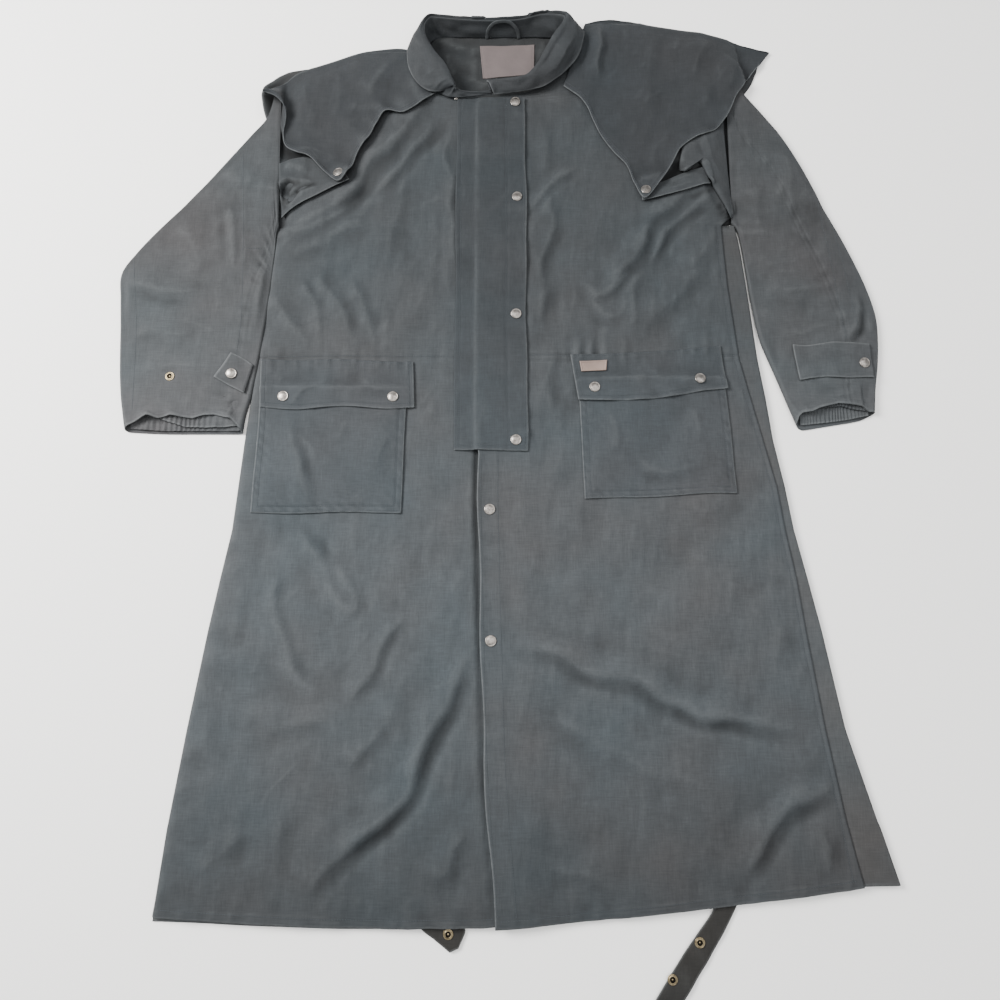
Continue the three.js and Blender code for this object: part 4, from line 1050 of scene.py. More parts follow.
def sleeve_rings(table, table_folds, seed, mouth, slit, seam_share):
    """Outer and inner surface of a flattened tube, ring by ring from the armhole to the cuff.

    mouth: share of the width from the outer side, and how far the upper and lower layer end
    short of the last ring (positive) or go past it. slit: x, lower y, upper y, which side is low.
    """
    mouth = np.array(mouth, float)
    ends = through(table, 140)
    ends[0], ends[-1] = table[0], table[-1]
    arc = np.radians(np.linspace(-82, 82, 9))
    flat = spread(1.0, 0.016, 0.012, 0.06)
    upper_count = len(flat)
    outer_side, inner_side = [], []
    run = 0.0
    rng = np.random.default_rng(seed)
    scattered = []
    for _ in range(34):
        ox, oy, ix, iy = ends[rng.integers(8, 132)]
        share, turn = rng.uniform(0.1, 0.9), rng.uniform(-0.5, 0.5)
        cx, cy, half = ox + (ix - ox) * share, oy + (iy - oy) * share, rng.uniform(15, 45)
        path = [(cx - half * math.cos(turn), cy - half * math.sin(turn)),
            (cx + half * math.cos(turn), cy + half * math.sin(turn))]
        scattered.append((path, rng.uniform(4, 9), rng.choice([-0.7, 0.9]) * rng.uniform(0.4, 1.2), 0.1))
    for k, (ox, oy, ix, iy) in enumerate(ends):
        down = k / (len(ends) - 1)
        if k:
            run += 0.5 * (math.dist(ends[k - 1][:2], (ox, oy)) + math.dist(ends[k - 1][2:], (ix, iy)))
        width = math.hypot(ix - ox, iy - oy)
        across = np.array([(ix - ox) / width, (iy - oy) / width])
        height = 6.4 + 1.5 * float(ease(down)) + 2.0 * float(ease((down - 0.9) / 0.1))
        r = height / 2
        along = np.concatenate([r + (width - 2 * r) * flat, width - r + r * np.cos(arc[::-1]),
            (width - r - (width - 2 * r) * np.linspace(0, 1, 26)), r - r * np.cos(arc)])
        level = np.concatenate([np.full(upper_count, height), r + r * np.sin(arc[::-1]), np.zeros(26), r
            + r * np.sin(arc)])
        x = ox + across[0] * along
        y = oy + across[1] * along
        on_top = np.zeros(len(along))
        inset = np.minimum(flat, 1 - flat) * width
        on_top[:upper_count] = ease(inset / 13 + 0.12)
        bulge = (
            folds(x, y, table_folds + scattered) + unevenness(x, y, seed, 0.9)
            + 2.2 * np.sin(np.pi * np.clip(along / width, 0, 1)) ** 0.7 * ease(down * 6)
        )
        seam = seam_share * width
        bulge -= 0.8 * bell(along - seam, 1.8) + 0.6 * bell(along - seam - 7, 1.8)
        bulge += 0.5 * waves(np.full(len(along), run), (along - seam) * 0.4, 21, seed
            + 5) * np.exp(-np.abs(along - seam) / 12)
        bulge += 5.0 * math.exp(-down * 26)
        to_cuff = (1 - down) * 520
        bulge += hem_band(np.full(len(along), to_cuff), 14, 0.8) if to_cuff < 30 else 0
        bulge += 1.2 * waves(along, np.full(len(along), to_cuff * 0.3), 38, seed
            + 7) * math.exp(-to_cuff / 28)
        z = lift(y) + 0.8 + level + on_top * bulge * ease(down * 12 + 0.25)
        slit_x, slit_low, slit_high, low_side = slit
        past = np.clip((x - slit_x) * low_side, -4, 60)
        dip = 1.9 * ease((past + 0.9) / 1.8) * ease((slit_high + 6 - y)
            / 14) * np.exp(-np.maximum(past - 14, 0) / 5)
        z -= on_top * dip
        share = np.clip(along / width, 0, 1)
        upper_end = np.interp(share, mouth[:, 0], mouth[:, 1])
        lower_end = np.interp(share, mouth[:, 0], mouth[:, 2])
        layer = np.clip(level / height, 0, 1)
        slant = (lower_end * (1 - layer) + upper_end * layer) * ease((down - 0.9) / 0.1)
        middle = np.stack([x, y + slant, z], -1)
        ahead, behind = np.roll(middle, -1, axis=0), np.roll(middle, 1, axis=0)
        tangent = ahead - behind
        flat_part = tangent[:, :2] @ across
        size = np.hypot(flat_part, tangent[:, 2]) + 1e-9
        normal = np.stack([-tangent[:, 2] / size * across[0], -tangent[:, 2] / size * across[1],
            flat_part / size], -1)
        outer_side.append(middle + 0.7 * normal)
        inner_side.append(middle - 0.7 * normal)
    return np.array(outer_side), np.array(inner_side), upper_count


def tube_object(name, outer_side, inner_side, upper_count):
    rings, around = outer_side.shape[:2]
    n = rings * around
    quads = [grid_quads(rings, around, 0, False, True), grid_quads(rings, around, n, True, True)]
    j = np.arange(around)
    k = (j + 1) % around
    last = (rings - 1) * around
    quads.append(np.stack([j, n + j, n + k, k], -1)[:, ::-1])
    quads.append(np.stack([last + j, last + k, n + last + k, n + last + j], -1)[:, ::-1])
    crest = wear_of(outer_side[..., 2], None, "")
    crest[-2:] = np.maximum(crest[-2:], 0.5)
    wear = np.concatenate([crest.ravel(), np.zeros(n)])
    # painted shade in the creases of the sleeve's upper face
    crease_shade = np.zeros((rings, around))
    crease_shade[:, : upper_count] = painted_crease_shade(outer_side[:, : upper_count, 2]).reshape(rings, upper_count)
    points = np.vstack([outer_side.reshape(-1, 3), inner_side.reshape(-1, 3)])
    return mesh_object(name, points, np.vstack(quads), wear, crease_shade.ravel())


# the sleeves' copy of the cloth is lighter: painted light, as they lie in the light from the left
SLEEVE_CLOTH = waxed_cotton("cloth_sleeves_painted_light", (54, 59, 61), (58, 56, 56))
MOUTH_LEFT = [
    # share from the outer side, upper layer, lower layer
    (0, 1, -4),
    (0.1, 10, -5),
    (0.2, 18, -6),
    (0.28, 13.5, -6.5),
    (0.39, 18, -7),
    (0.48, 15, -7),
    (0.58, 13, -7),
    (0.68, 18, -7),
    (0.76, 19, -7),
    (0.85, 15, -7),
    (0.9, 13.5, -7),
    (0.97, 1, -7),
    (1, -5, -7),
]
MOUTH_RIGHT = [
    (0, 0, -2),
    (0.08, 1, -5),
    (0.16, 9, -8),
    (0.31, 14, -9.5),
    (0.47, 18.6, -10),
    (0.6, 17, -10.5),
    (0.72, 15, -11),
    (0.82, 11.5, -11.5),
    (0.93, 11.5, -11.5),
    (0.98, 8, -7),
    (1, -1, -3),
]
for name, table, table_folds, seed, mouth, slit, seam_share, size, area in (
    ("sleeve_left", SLEEVE_LEFT, SLEEVE_FOLDS_LEFT, 101, MOUTH_LEFT, (-374, 640, 686, 1), 0.86,
        (0.42, 0.53), 0.17),
    ("sleeve_right", SLEEVE_RIGHT, SLEEVE_FOLDS_RIGHT, 131, MOUTH_RIGHT, (504.5, 650, 700, 1), 0.30,
        (0.36, 0.57), 0.16),
):
    outer_side, inner_side, upper_count = sleeve_rings(table, table_folds, seed, mouth, slit, seam_share)
    sleeve = tube_object(name + "_cloth", outer_side, inner_side, upper_count)
    dress(sleeve, SLEEVE_CLOTH, name)
    pile_up(outer_side[:, : upper_count + 4])


# The inner cuffs: short gathered tubes of the same cloth, sewn inside the sleeves' ends, drawn
# into small pleats by elastic. Only their mouths show in the openings.
def inner_cuff(name, outer_end, inner_end, upper_y, lower_y, base, seed):
    """A pleated flattened tube; upper_y and lower_y give each layer's mouth along the width."""
    upper_y, lower_y = np.array(upper_y, float), np.array(lower_y, float)
    rings = []
    share = np.concatenate([np.linspace(0, 1, 150), np.linspace(1, 0, 150)])
    layer = np.concatenate([np.ones(150), np.zeros(150)])
    x = outer_end[0] + (inner_end[0] - outer_end[0]) * share
    for depth in np.concatenate([np.linspace(44, 8, 10), np.linspace(6, 0, 5)]):
        end = np.where(layer > 0, np.interp(share, upper_y[:, 0], upper_y[:, 1]),
            np.interp(share, lower_y[:, 0], lower_y[:, 1]))
        y = end + depth
        side = np.sqrt(np.clip(1 - (2 * share - 1) ** 8, 0, 1))
        gather = 1.0 * np.sin(waves(share * 160, share * 0, 60, seed) * 1.5 + share * 160 / 7.2
            * math.tau * 0.92)
        gather *= ease((46 - depth) / 30) * (0.55 + 0.45 * np.sin(share * 5 + seed))
        z = (
            base + np.where(layer > 0, 2.4, -1.4) * side + gather * side * 0.8
            + 0.5 * waves(x, y, 26, seed + 2) * side
        )
        rings.append(np.stack([x, y, np.maximum(z, lift(y) + 2.9)], -1))
    rings = np.array(rings)
    around = np.roll(rings, -1, axis=1) - np.roll(rings, 1, axis=1)
    normal = np.stack([-around[..., 2], np.zeros(around.shape[:2]), around[..., 0]], -1)
    normal /= np.linalg.norm(normal, axis=2, keepdims=True) + 1e-9
    return tube_object(name, rings + 0.35 * normal, rings - 0.35 * normal, 150)


for name, outer_end, inner_end, upper_y, lower_y, seed, size in (
    ("cuff_gather_left", (-514, 0), (-362, 0),
        [(0, 652), (0.12, 654), (0.25, 650), (0.4, 643), (0.5, 638), (0.7, 637), (0.88, 638), (1, 640)],
        [(0, 636), (0.3, 633), (1, 633)], 301, (0.32, 0.045)),
    ("cuff_gather_right", (514, 0), (418, 0), [(0, 660), (0.2, 663), (0.4, 668), (0.6, 666), (1, 660)],
        [(0, 655), (0.3, 649), (0.6, 645), (1, 641)], 307, (0.21, 0.045)),
):
    cuff = inner_cuff(name, outer_end, inner_end, upper_y, lower_y, 5.6, seed)
    cuff.data.materials.append(SLEEVE_CLOTH)
    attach(cuff, "root")

# Sleeve tabs: doubled strips sewn in at the sleeve seams, snapped down to draw the cuff in.
TABS = [
    # name, sections from end to seam as lower x, y, upper x, y; seed; flat size
    ("sleeve_tab_left", [(-400, 709, -379, 745), (-388, 702, -369, 741), (-373, 694, -358, 735),
        (-357, 686, -347, 727)], 311, (0.043, 0.043)),
    ("sleeve_tab_right", [(419, 704, 413, 757), (437, 707, 432, 756), (455, 709, 450, 758),
        (475, 708, 470, 760), (492, 708, 488, 760), (510, 709, 506, 759), (524, 709, 522, 758)], 317,
        (0.108, 0.051)),
]
for name, table, seed, size in TABS:
    ends = through(table, 12 if name.endswith("left") else 50)
    plan = rows_between(ends[:, :2], ends[:, 2:], spread(45, 2.0, 1.3, 6))
    x, y = plan[..., 0], plan[..., 1]
    sides = side_distances(plan)
    rim = nearest(sides, "wes")
    z = pile_height(x, y, 12, 3) + 0.5 + 1.8 + 0.35 * waves(x, y, 32, seed)
    z += 0.9 * np.exp(-(sides["s"] / 9)) - 0.35 * bell(rim - 2.5, 0.9)
    top = np.dstack([plan, z])
    tab = sheet_object(name + "_cloth", top, wall=1.7, edges="swe", along_z=True)
    dress(tab, SLEEVE_CLOTH, name)
    pile_up(top)

# The storm flap: a double strip of waxed cotton sewn down its left edge and snapped at the right.
# the flap's copy of the cloth is darker: painted shade
FLAP_CLOTH = waxed_cotton("cloth_flap_painted_shade", (41, 47, 50), (45, 45, 46))
heights = np.concatenate([np.arange(604, 620, 2.0), np.arange(620, 1140, 4.0), np.arange(1140, 1152, 2.0)])
left = np.array([(-64 - 0.5 * (y > 900) + 0.6 * math.sin(y / 41), y) for y in heights])
right = np.array([(38 + 1.0 * math.sin(y / 47) + 0.6 * math.sin(y / 19), y - 1 + 1.2 * math.sin(y / 9)
    * (y < 610)) for y in heights])
plan = rows_between(left, right, spread(102, 3.0, 1.8, 10))
x, y = plan[..., 0], plan[..., 1]
z = pile_height(x, y, 16, 6) + 0.5 + 1.6
z += (
    0.5 * waves(x, y, 70, 151, 0.2, 1.5)
    + 0.35 * waves(y, (38 - x) * 0.25, 26, 152) * np.exp(-(38 - x) / 18)
)
z += 0.25 * creased(x, y, 60, 153, 1.3, 2.0)
z -= 0.55 * bell(x - 9, 1.3) + 0.4 * bell(x + 57, 1.5)
z += 1.3 * np.exp(-((38 - x) / 9)) * (0.5 + 0.5 * waves(y, y * 0, 90, 154))
flap_top = np.dstack([plan, z])
flap = sheet_object("storm_flap_cloth", flap_top, wall=1.5, edges="se", along_z=True)
dress(flap, FLAP_CLOTH, "storm_flap")
pile_up(flap_top)

# Patch pockets: the patch is sewn round three sides, the flap along its top and snapped down.
# the pockets' copy of the cloth is darker: painted shade
POCKET_CLOTH = waxed_cotton("cloth_pockets_painted_shade", (45, 51, 54), (49, 49, 50))
PATCHES = [
    # name, corners left-bottom, right-bottom, right-top, left-top, seed, bulge
    ("pocket_left", (-338, 516), (-134, 517), (-130, 692), (-334, 692), 171, 2.0),
    ("pocket_right", (115, 535), (323, 544), (314, 706), (110, 704), 181, 1.6),
]
POCKET_FOLDS = {
    "pocket_left": [
        ([(-305, 655), (-290, 620), (-272, 570), (-258, 522)], 13, 3.2, 0.25),
        ([(-292, 655), (-276, 620), (-259, 570), (-246, 522)], 8, -1.8, 0.0),
        ([(-292, 640), (-262, 612), (-244, 586)], 9, 2.2, 0.0),
        ([(-150, 650), (-168, 600), (-176, 560)], 13, 2.2, 0.2),
        ([(-200, 545), (-182, 528)], 8, 1.6, 0.0),
        ([(-215, 655), (-222, 610)], 8, 1.4, 0.0),
    ],
    "pocket_right": [
        ([(182, 610), (200, 580), (226, 568), (262, 576), (292, 590)], 13, 2.6, 0.2),
        ([(184, 596), (202, 566), (228, 554), (264, 562)], 8, -1.4, 0.0),
        ([(150, 668), (158, 630), (160, 596)], 10, 1.8, 0.2),
        ([(270, 672), (276, 640), (272, 612)], 9, 1.6, 0.0),
    ],
}
for name, a, b, c, d, seed, bulge in PATCHES:
    t = spread(175, 3.0, 1.9, 10)[:, None]
    left = np.array(a) + (np.array(d) - np.array(a)) * t
    right = np.array(b) + (np.array(c) - np.array(b)) * t
    plan = rows_between(left, right, spread(205, 3.2, 1.9, 10))
    x, y = plan[..., 0].copy(), plan[..., 1].copy()
    plan[..., 1] -= 1.0 * np.sin(x / 23 + seed) * np.clip(1 - t * 3, 0, 1)
    sides = side_distances(plan)
    rim = nearest(sides, "swe")
    z = pile_height(x, y, 12, 3) + 0.5 + 1.5
    z += (
        bulge * ease(rim / 45) + folds(x, y, POCKET_FOLDS[name]) * ease(rim / 16)
        + 0.35 * unevenness(x, y, seed)
    )
    z -= 0.45 * bell(rim - 2.5, 1.0) + 0.45 * bell(rim - 9, 1.2)
    z += 0.5 * waves(x + y, rim * 0.2, 13, seed + 4) * np.exp(-rim / 11) * ease(rim / 2)
    top = np.dstack([plan, z])
    pocket = sheet_object(name + "_cloth", top, wall=1.4, edges="swe", along_z=True)
    dress(pocket, POCKET_CLOTH, name)
    pile_up(top)

FLAPS = [
    # name, bottom edge left, middle, right; top edge left, middle, right; seed
    ("pocket_flap_left", [(-333, 665), (-283, 661), (-217, 666), (-160, 662), (-119, 665)],
        [(-337, 737), (-283, 735), (-227, 736), (-170, 733), (-122, 732)], 191),
    ("pocket_flap_right", [(109, 676), (160, 674), (224, 678), (281, 688), (318, 692)],
        [(99, 742), (145, 744), (200, 747), (260, 751), (311, 756)], 201),
]
FLAP_FOLDS = {
    "pocket_flap_left": [
        ([(-292, 668), (-268, 694), (-240, 710)], 8, 2.2, 0.2),
        ([(-200, 706), (-164, 690), (-135, 688)], 8, 2.4, 0.2),
        ([(-196, 696), (-162, 681), (-140, 680)], 6, -1.2, 0.0),
        ([(-320, 712), (-300, 700)], 8, 1.2, 0.0),
    ],
    "pocket_flap_right": [
        ([(185, 690), (205, 716), (228, 722)], 9, 2.0, 0.2),
        ([(250, 714), (276, 700), (300, 702)], 8, 2.0, 0.0),
    ],
}
for name, lower, upper, seed in FLAPS:
    shares = spread(217, 3.2, 1.9, 10)
    low_edge = through(lower, 200)[(shares * 199).round().astype(int)]
    top_edge = through(upper, 200)[(shares * 199).round().astype(int)]
    t = spread(72, 2.6, 1.8, 10)[:, None, None]
    plan = low_edge[None] + (top_edge - low_edge)[None] * t
    x, y = plan[..., 0], plan[..., 1]
    sides = side_distances(plan)
    rim = nearest(sides, "swe")
    z = pile_height(x, y, 9, 3) + 0.5 + 1.6
    z += (
        folds(x, y, FLAP_FOLDS[name]) + 0.3 * unevenness(x, y, seed)
        + 0.9 * waves(x, y * 0.3, 46, seed + 3) * np.exp(-sides["s"] / 16)
    )
    z -= 0.45 * bell(rim - 6.5, 1.2) + 0.7 * bell(sides["n"], 1.6)
    z += 0.6 * waves(x, sides["n"] * 0.2, 12, seed + 6) * np.exp(-sides["n"] / 10)
    top = np.dstack([plan, z])
    pocket_flap = sheet_object(name + "_cloth", top, wall=1.5, edges="swe", along_z=True)
    dress(pocket_flap, POCKET_CLOTH, name)
    pile_up(top)

# The front capes: one layer of waxed cotton from the shoulder seam down to a snapped point,
# loose along the lower edge. The left one curls up off the sleeve at the shoulder.
CAPE_LEFT = [
    # x, y at the shoulder line; x, y at the lower edge
    (-139, 1238, -96, 1160),
    (-160, 1240, -119, 1139),
    (-193, 1236, -144, 1122),
    (-220, 1229, -170, 1126),
    (-246, 1219, -184, 1103),
    (-262, 1213, -194, 1080),
    (-276, 1208, -209, 1056),
    (-288, 1204, -221, 1023),
    (-298, 1200, -237, 1006),
    (-305, 1197, -258, 1025),
    (-311, 1193, -281, 1049),
    (-316, 1189, -300, 1055),
    (-321, 1184, -317, 1066),
    (-325, 1179, -321, 1085),
    (-329, 1174, -318, 1106),
    (-333, 1169, -318, 1120),
    (-338, 1165, -323, 1131),
    (-343, 1160, -334, 1142),
    (-348, 1155, -345, 1146),
    (-352, 1150, -351, 1147),
]
# Its shoulder end stands up in a loose curl over the sleeve: row, height at the shoulder and edge
CURL = [(0, 0, 0), (8, 4.5, 10), (11, 6, 12), (13, 9, 17), (15, 14, 23), (17, 20, 27), (19, 26, 30),
    (20, 28, 30)]
CAPE_RIGHT = [
    (131, 1284, 96, 1170),
    (145, 1289, 108, 1160),
    (158, 1291, 121, 1149),
    (172, 1292, 132, 1133),
    (188, 1290, 140, 1110),
    (205, 1287, 151, 1085),
    (225, 1281, 168, 1060),
    (245, 1277, 188, 1037),
    (262, 1274, 198, 1007),
    (279, 1271, 211, 980),
    (294, 1269, 234, 1008),
    (309, 1267, 252, 1036),
    (322, 1263, 266, 1062),
    (335, 1259, 288, 1079),
    (347, 1255, 305, 1086),
    (358, 1251, 321, 1094),
    (368, 1247, 335, 1111),
    (378, 1244, 345, 1130),
    (388, 1241, 353, 1149),
    (398, 1238, 366, 1169),
    (407, 1236, 382, 1195),
    (413, 1234, 396, 1213),
]
CAPE_FOLDS = {
    "cape_front_left": [
        ([(-346, 1172), (-352, 1150), (-342, 1118)], 11, 9.0, 0.0),
        ([(-322, 1186), (-324, 1150), (-314, 1108)], 10, -2.5, 0.0),
        ([(-170, 1222), (-186, 1188), (-196, 1150)], 15, 3.4, 0.2),
        ([(-250, 1205), (-246, 1160), (-240, 1110)], 18, 2.4, 0.2),
        ([(-140, 1215), (-132, 1180), (-122, 1155)], 10, 3.0, 0.0),
        ([(-300, 1180), (-290, 1140), (-276, 1100)], 14, 2.4, 0.0),
        ([(-168, 1134), (-200, 1140), (-240, 1132)], 12, 1.8, 0.0),
    ],
    "cape_front_right": [
        ([(152, 1280), (156, 1236), (144, 1182)], 11, 6.0, 0.2),
        ([(170, 1282), (174, 1236), (160, 1180)], 9, -3.0, 0.0),
        ([(134, 1270), (132, 1230), (118, 1190)], 8, -2.4, 0.0),
        ([(312, 1262), (300, 1219), (291, 1178)], 15, 3.2, 0.2),
        ([(230, 1262), (224, 1190), (214, 1110)], 20, 2.4, 0.2),
        ([(380, 1232), (356, 1198), (338, 1160)], 12, 3.0, 0.0),
        ([(260, 1100), (236, 1060), (220, 1020)], 12, 2.0, 0.0),
        ([(360, 1215), (320, 1170), (300, 1120)], 14, 2.0, 0.0),
    ],
}
# the capes' copy of the cloth is darker: painted shade, as the light falls off towards the collar
CAPE_CLOTH = waxed_cotton("cloth_capes_painted_shade", (40, 45, 48), (44, 44, 45))
for name, table, loose, count, seed, size, area in (
    # the numbers after the table: row and how far the hem stands off there
    ("cape_front_left", CAPE_LEFT, [(0, 0), (2, 3), (4, 5), (7, 4), (8, 1), (10, 2), (12, 6)], 95, 231,
        (0.27, 0.24), 0.036),
    ("cape_front_right", CAPE_RIGHT, [(0, 0), (2, 2), (7, 2), (9, 0.5), (11, 5), (14, 6), (19, 2)], 130,
        251, (0.32, 0.31), 0.052),
):
    ends = through(table, count)
    plan = rows_between(ends[:, :2], ends[:, 2:], spread(190, 2.6, 1.7, 12))
    sides = side_distances(plan)
    x, y = plan[..., 0], plan[..., 1]
    z = pile_height(x, y, 9, 14) + 0.7 + 1.5
    z += (
        folds(x, y, CAPE_FOLDS[name]) + 0.6 * unevenness(x, y, seed)
        + small_creases(x, y, seed + 7, 26, 70, 60, 6, 0.6)
    )
    z += 1.0 * waves(x + y, sides["e"] * 0.3, 52, seed + 4) * np.exp(-sides["e"] / 22)
    z += hem_band(sides["e"], 8, 0.6)
    row = np.linspace(0, len(table) - 1, count)[:, None]
    loose = np.array(loose, float)
    z += np.interp(row, loose[:, 0], loose[:, 1]) * np.exp(-sides["e"] / 14)
    z = clear_of_pile(z, x, y) - (z - 4.5) * bell(sides["w"], 17) * 0.55
    if name == "cape_front_left":
        curl = np.array(CURL, float)
        at_shoulder, at_edge = np.interp(row, curl[:, 0], curl[:, 1]), np.interp(row, curl[:, 0],
            curl[:, 2])
        t = sides["w"] / (sides["w"] + sides["e"])
        raised = (
            at_shoulder + (at_edge - at_shoulder) * ease(t * 1.6)
            + 3.5 * np.sin(math.pi * np.clip(t, 0, 1)) * ease((row - 11) / 4)
        )
        z = z * (1 - ease((row - 10) / 5)) + np.maximum(z * 0.6, raised) * ease((row - 10) / 5)
    top = np.dstack([plan, z])
    lip = top[:, :1].copy()
    out = plan[:, 0] - plan[:, 1]
    out /= np.linalg.norm(out, axis=1, keepdims=True)
    lips = []
    for away, height in ((1.6, 2.9), (2.8, 4.4), (2.6, 6.4)):
        step = lip.copy()
        step[:, 0, :2] += out * away
        step[:, 0, 2] = np.minimum(height, lip[:, 0, 2] - 0.4) + np.maximum(lip[:, 0, 2] - 9, 0)
        lips.append(step)
    top = np.concatenate(lips + [top], axis=1)
    cape = sheet_object(name + "_cloth", top, wall=1.4, edges="e")
    dress(cape, CAPE_CLOTH, name)
    pile_up(top)


# The collar stand: a doubled band of the same cloth that stands round the neck, open at the front.
# It is sewn to the neckline at its foot and carries the collar along its top.
NECK = [
    # foot x, y, z; top, where the collar rolls over, x, y, z; the collar's free edge x, y, z
    (-12, 1153, 16.5, -12, 1157, 22.5, -12, 1157, 22),
    (-45, 1149, 16.5, -45, 1153.5, 23, -45, 1153.5, 22),
    (-72, 1149, 16, -65, 1156, 27.5, -69, 1159, 23.5),
    (-82, 1152, 15, -67, 1162, 30, -82, 1158, 20),
    (-90, 1158, 14, -71, 1170, 31, -93, 1156, 19),
    (-98, 1168, 13.6, -76, 1181, 32, -107, 1158, 18.5),
    (-106, 1184, 13.4, -84, 1196, 33, -122, 1169, 18),
    (-112, 1208, 12, -100, 1216, 34, -135, 1189, 18),
    (-113, 1236, 10, -112, 1239, 35, -141, 1213, 17.5),
    (-105, 1254, 6.4, -115, 1257, 35, -139, 1240, 16),
    (-92, 1261, 4.5, -107, 1273, 33.6, -122, 1274, 11),
    (-80, 1262.6, 4.0, -95, 1275, 32, -103, 1285, 8.5),
    (-58, 1263, 3.8, -68, 1273, 31, -72, 1284, 8),
    (-18, 1263, 3.8, -20, 1271, 30, -22, 1282, 7),
    (25, 1263, 3.8, 28, 1273, 30, 30, 1284, 7),
    (58, 1263, 3.8, 64, 1280, 32, 67, 1291, 8),
    (88, 1261, 4.2, 97, 1276, 34, 108, 1287, 10),
    (106, 1252, 8, 95, 1262, 36, 126.5, 1262, 20),
    (112, 1230, 12, 83, 1244, 37, 126.5, 1242, 23.5),
    (107, 1207, 13, 69, 1217, 37, 117.5, 1212, 24),
    (90, 1190, 13.6, 57, 1194, 35, 97.6, 1186.6, 23.5),
    (76, 1180, 14.2, 47, 1182, 32.5, 83.8, 1175.5, 22.5),
    (62, 1172, 15, 38, 1175, 31, 66, 1163.8, 21),
    (36, 1164, 15.5, 22, 1172, 29.5, 42, 1158, 19.5),
    (10, 1159, 16, 2, 1171, 28, 14, 1154, 19),
    (-14, 1156, 16.5, -20, 1169, 26.5, -9, 1152, 18),
]
STAND_FOLDS = [
    ([(-118, 1262), (-100, 1258), (-84, 1262)], 4, 1.8, 0.0),
    ([(-64, 1276), (-56, 1268), (-48, 1262)], 5, -1.2, 0.0),
    ([(40, 1280), (52, 1270), (58, 1262)], 5, 1.6, 0.0),
    ([(64, 1284), (78, 1272), (92, 1268)], 5, -2.0, 0.0),
    ([(70, 1270), (84, 1264), (96, 1256)], 4, 1.8, 0.0),
]
# the collar's copy of the cloth is darker: painted shade, as the light falls off towards the collar
COLLAR_CLOTH = waxed_cotton("cloth_collar_painted_shade", (43, 48, 51), (47, 46, 46))
neck_lines = through(NECK, 12 * (len(NECK) - 1) + 1)
share = np.linspace(0, 1, 16)
foot, rim = neck_lines[:, None, :3], neck_lines[:, None, 3:6] - (0, 0, 1.0)
stand_face = foot + (rim - foot) * share[None, :, None]
along = np.linspace(0, 700, len(neck_lines))[:, None] + 0 * share[None, :]
sag = 0.9 * waves(along, share[None, :] * 30, 60, 401) + 0.5 * waves(along, share[None, :] * 30, 22, 403)
sag += folds(stand_face[..., 0], stand_face[..., 1], STAND_FOLDS)
stand_face = stand_face + grid_normals(stand_face) * (sag * np.sin(math.pi * share)[None, :])[..., None]
stand = sheet_object("collar_stand_cloth", stand_face, wall=1.5, edges="")
dress(stand, COLLAR_CLOTH, "collar_stand")

# The collar: two layers turned at the edges, rising from the stand, rolled over and laid out
# as a wing on each side of the neck.
COLLAR_FOLDS = [
    # path, width, rise, lean
    ([(104, 1268), (92, 1240), (80, 1214), (66, 1188), (48, 1168)], 6, -3.2, 0.0),
    ([(114, 1262), (104, 1232), (94, 1206), (80, 1184), (58, 1164)], 7, 3.0, 0.2),
    ([(118, 1236), (110, 1208), (94, 1184)], 6, -1.8, 0.0),
    ([(100, 1284), (88, 1270), (86, 1250)], 5, 2.4, 0.0),
    ([(118, 1276), (112, 1256), (116, 1236)], 6, 1.8, 0.0),
    ([(66, 1290), (76, 1280), (84, 1272)], 4, -1.8, 0.0),
    ([(0, 1166), (26, 1162), (52, 1168)], 5, -2.2, 0.0),
    ([(-4, 1158), (24, 1160), (48, 1162)], 5, 1.6, 0.0),
    ([(-14, 1166), (-6, 1160), (-8, 1154)], 4, 1.6, 0.0),
    ([(-134, 1184), (-116, 1170), (-92, 1164)], 6, 2.2, 0.2),
    ([(-126, 1192), (-106, 1178), (-84, 1172)], 5, -1.8, 0.0),
    ([(-96, 1158), (-84, 1166), (-74, 1168)], 4, 1.6, 0.0),
    ([(-130, 1262), (-126, 1236), (-114, 1212)], 8, 1.8, 0.0),
    ([(-136, 1230), (-124, 1204), (-104, 1182)], 7, -1.4, 0.0),
    ([(-60, 1284), (-52, 1278), (-40, 1276)], 5, 1.4, 0.0),
]
rings = []
for rx, ry, rz, ex, ey, ez in neck_lines[24:, 3:]:
    reach = math.dist((rx, ry), (ex, ey))
    dx, dy = (ex - rx) / reach, (ey - ry) / reach
    control = [
        (rx - 0.4 * dx, ry - 0.4 * dy, rz - 0.9),
        (rx + 0.6 * dx, ry + 0.6 * dy, rz + 0.5),
        (rx + 0.2 * reach * dx, ry + 0.2 * reach * dy, rz + 1.9),
        (rx + 0.45 * reach * dx, ry + 0.45 * reach * dy, rz * 0.8 + ez * 0.2 + 1.8),
        (rx + 0.74 * reach * dx, ry + 0.74 * reach * dy, rz * 0.38 + ez * 0.62 + 1.4),
        (ex, ey, ez),
    ]
    rings.append(through(control, 40))
collar_face = np.array(rings)
x, y = collar_face[..., 0], collar_face[..., 1]
out = np.clip(np.arange(40) / 39, 0, 1)[None, :]
swell = folds(x, y, COLLAR_FOLDS) + 0.5 * waves(x, y, 60, 411) + 0.3 * waves(x, y, 20, 412, 1.0, 2.5) * out
swell += small_creases(x, y, 415, 26, 50, 46, 3.4, 0.7)
normals = grid_normals(collar_face)
normals *= np.sign(normals[..., 2:] + 1e-6)
collar_face = collar_face + normals * (swell * ease(out * 3) * ease((1 - out) * 6 + 0.4))[..., None]
collar = sheet_object("collar_cloth", collar_face, wall=2.0, edges="esn", along_z=False)
dress(collar, COLLAR_CLOTH, "collar")

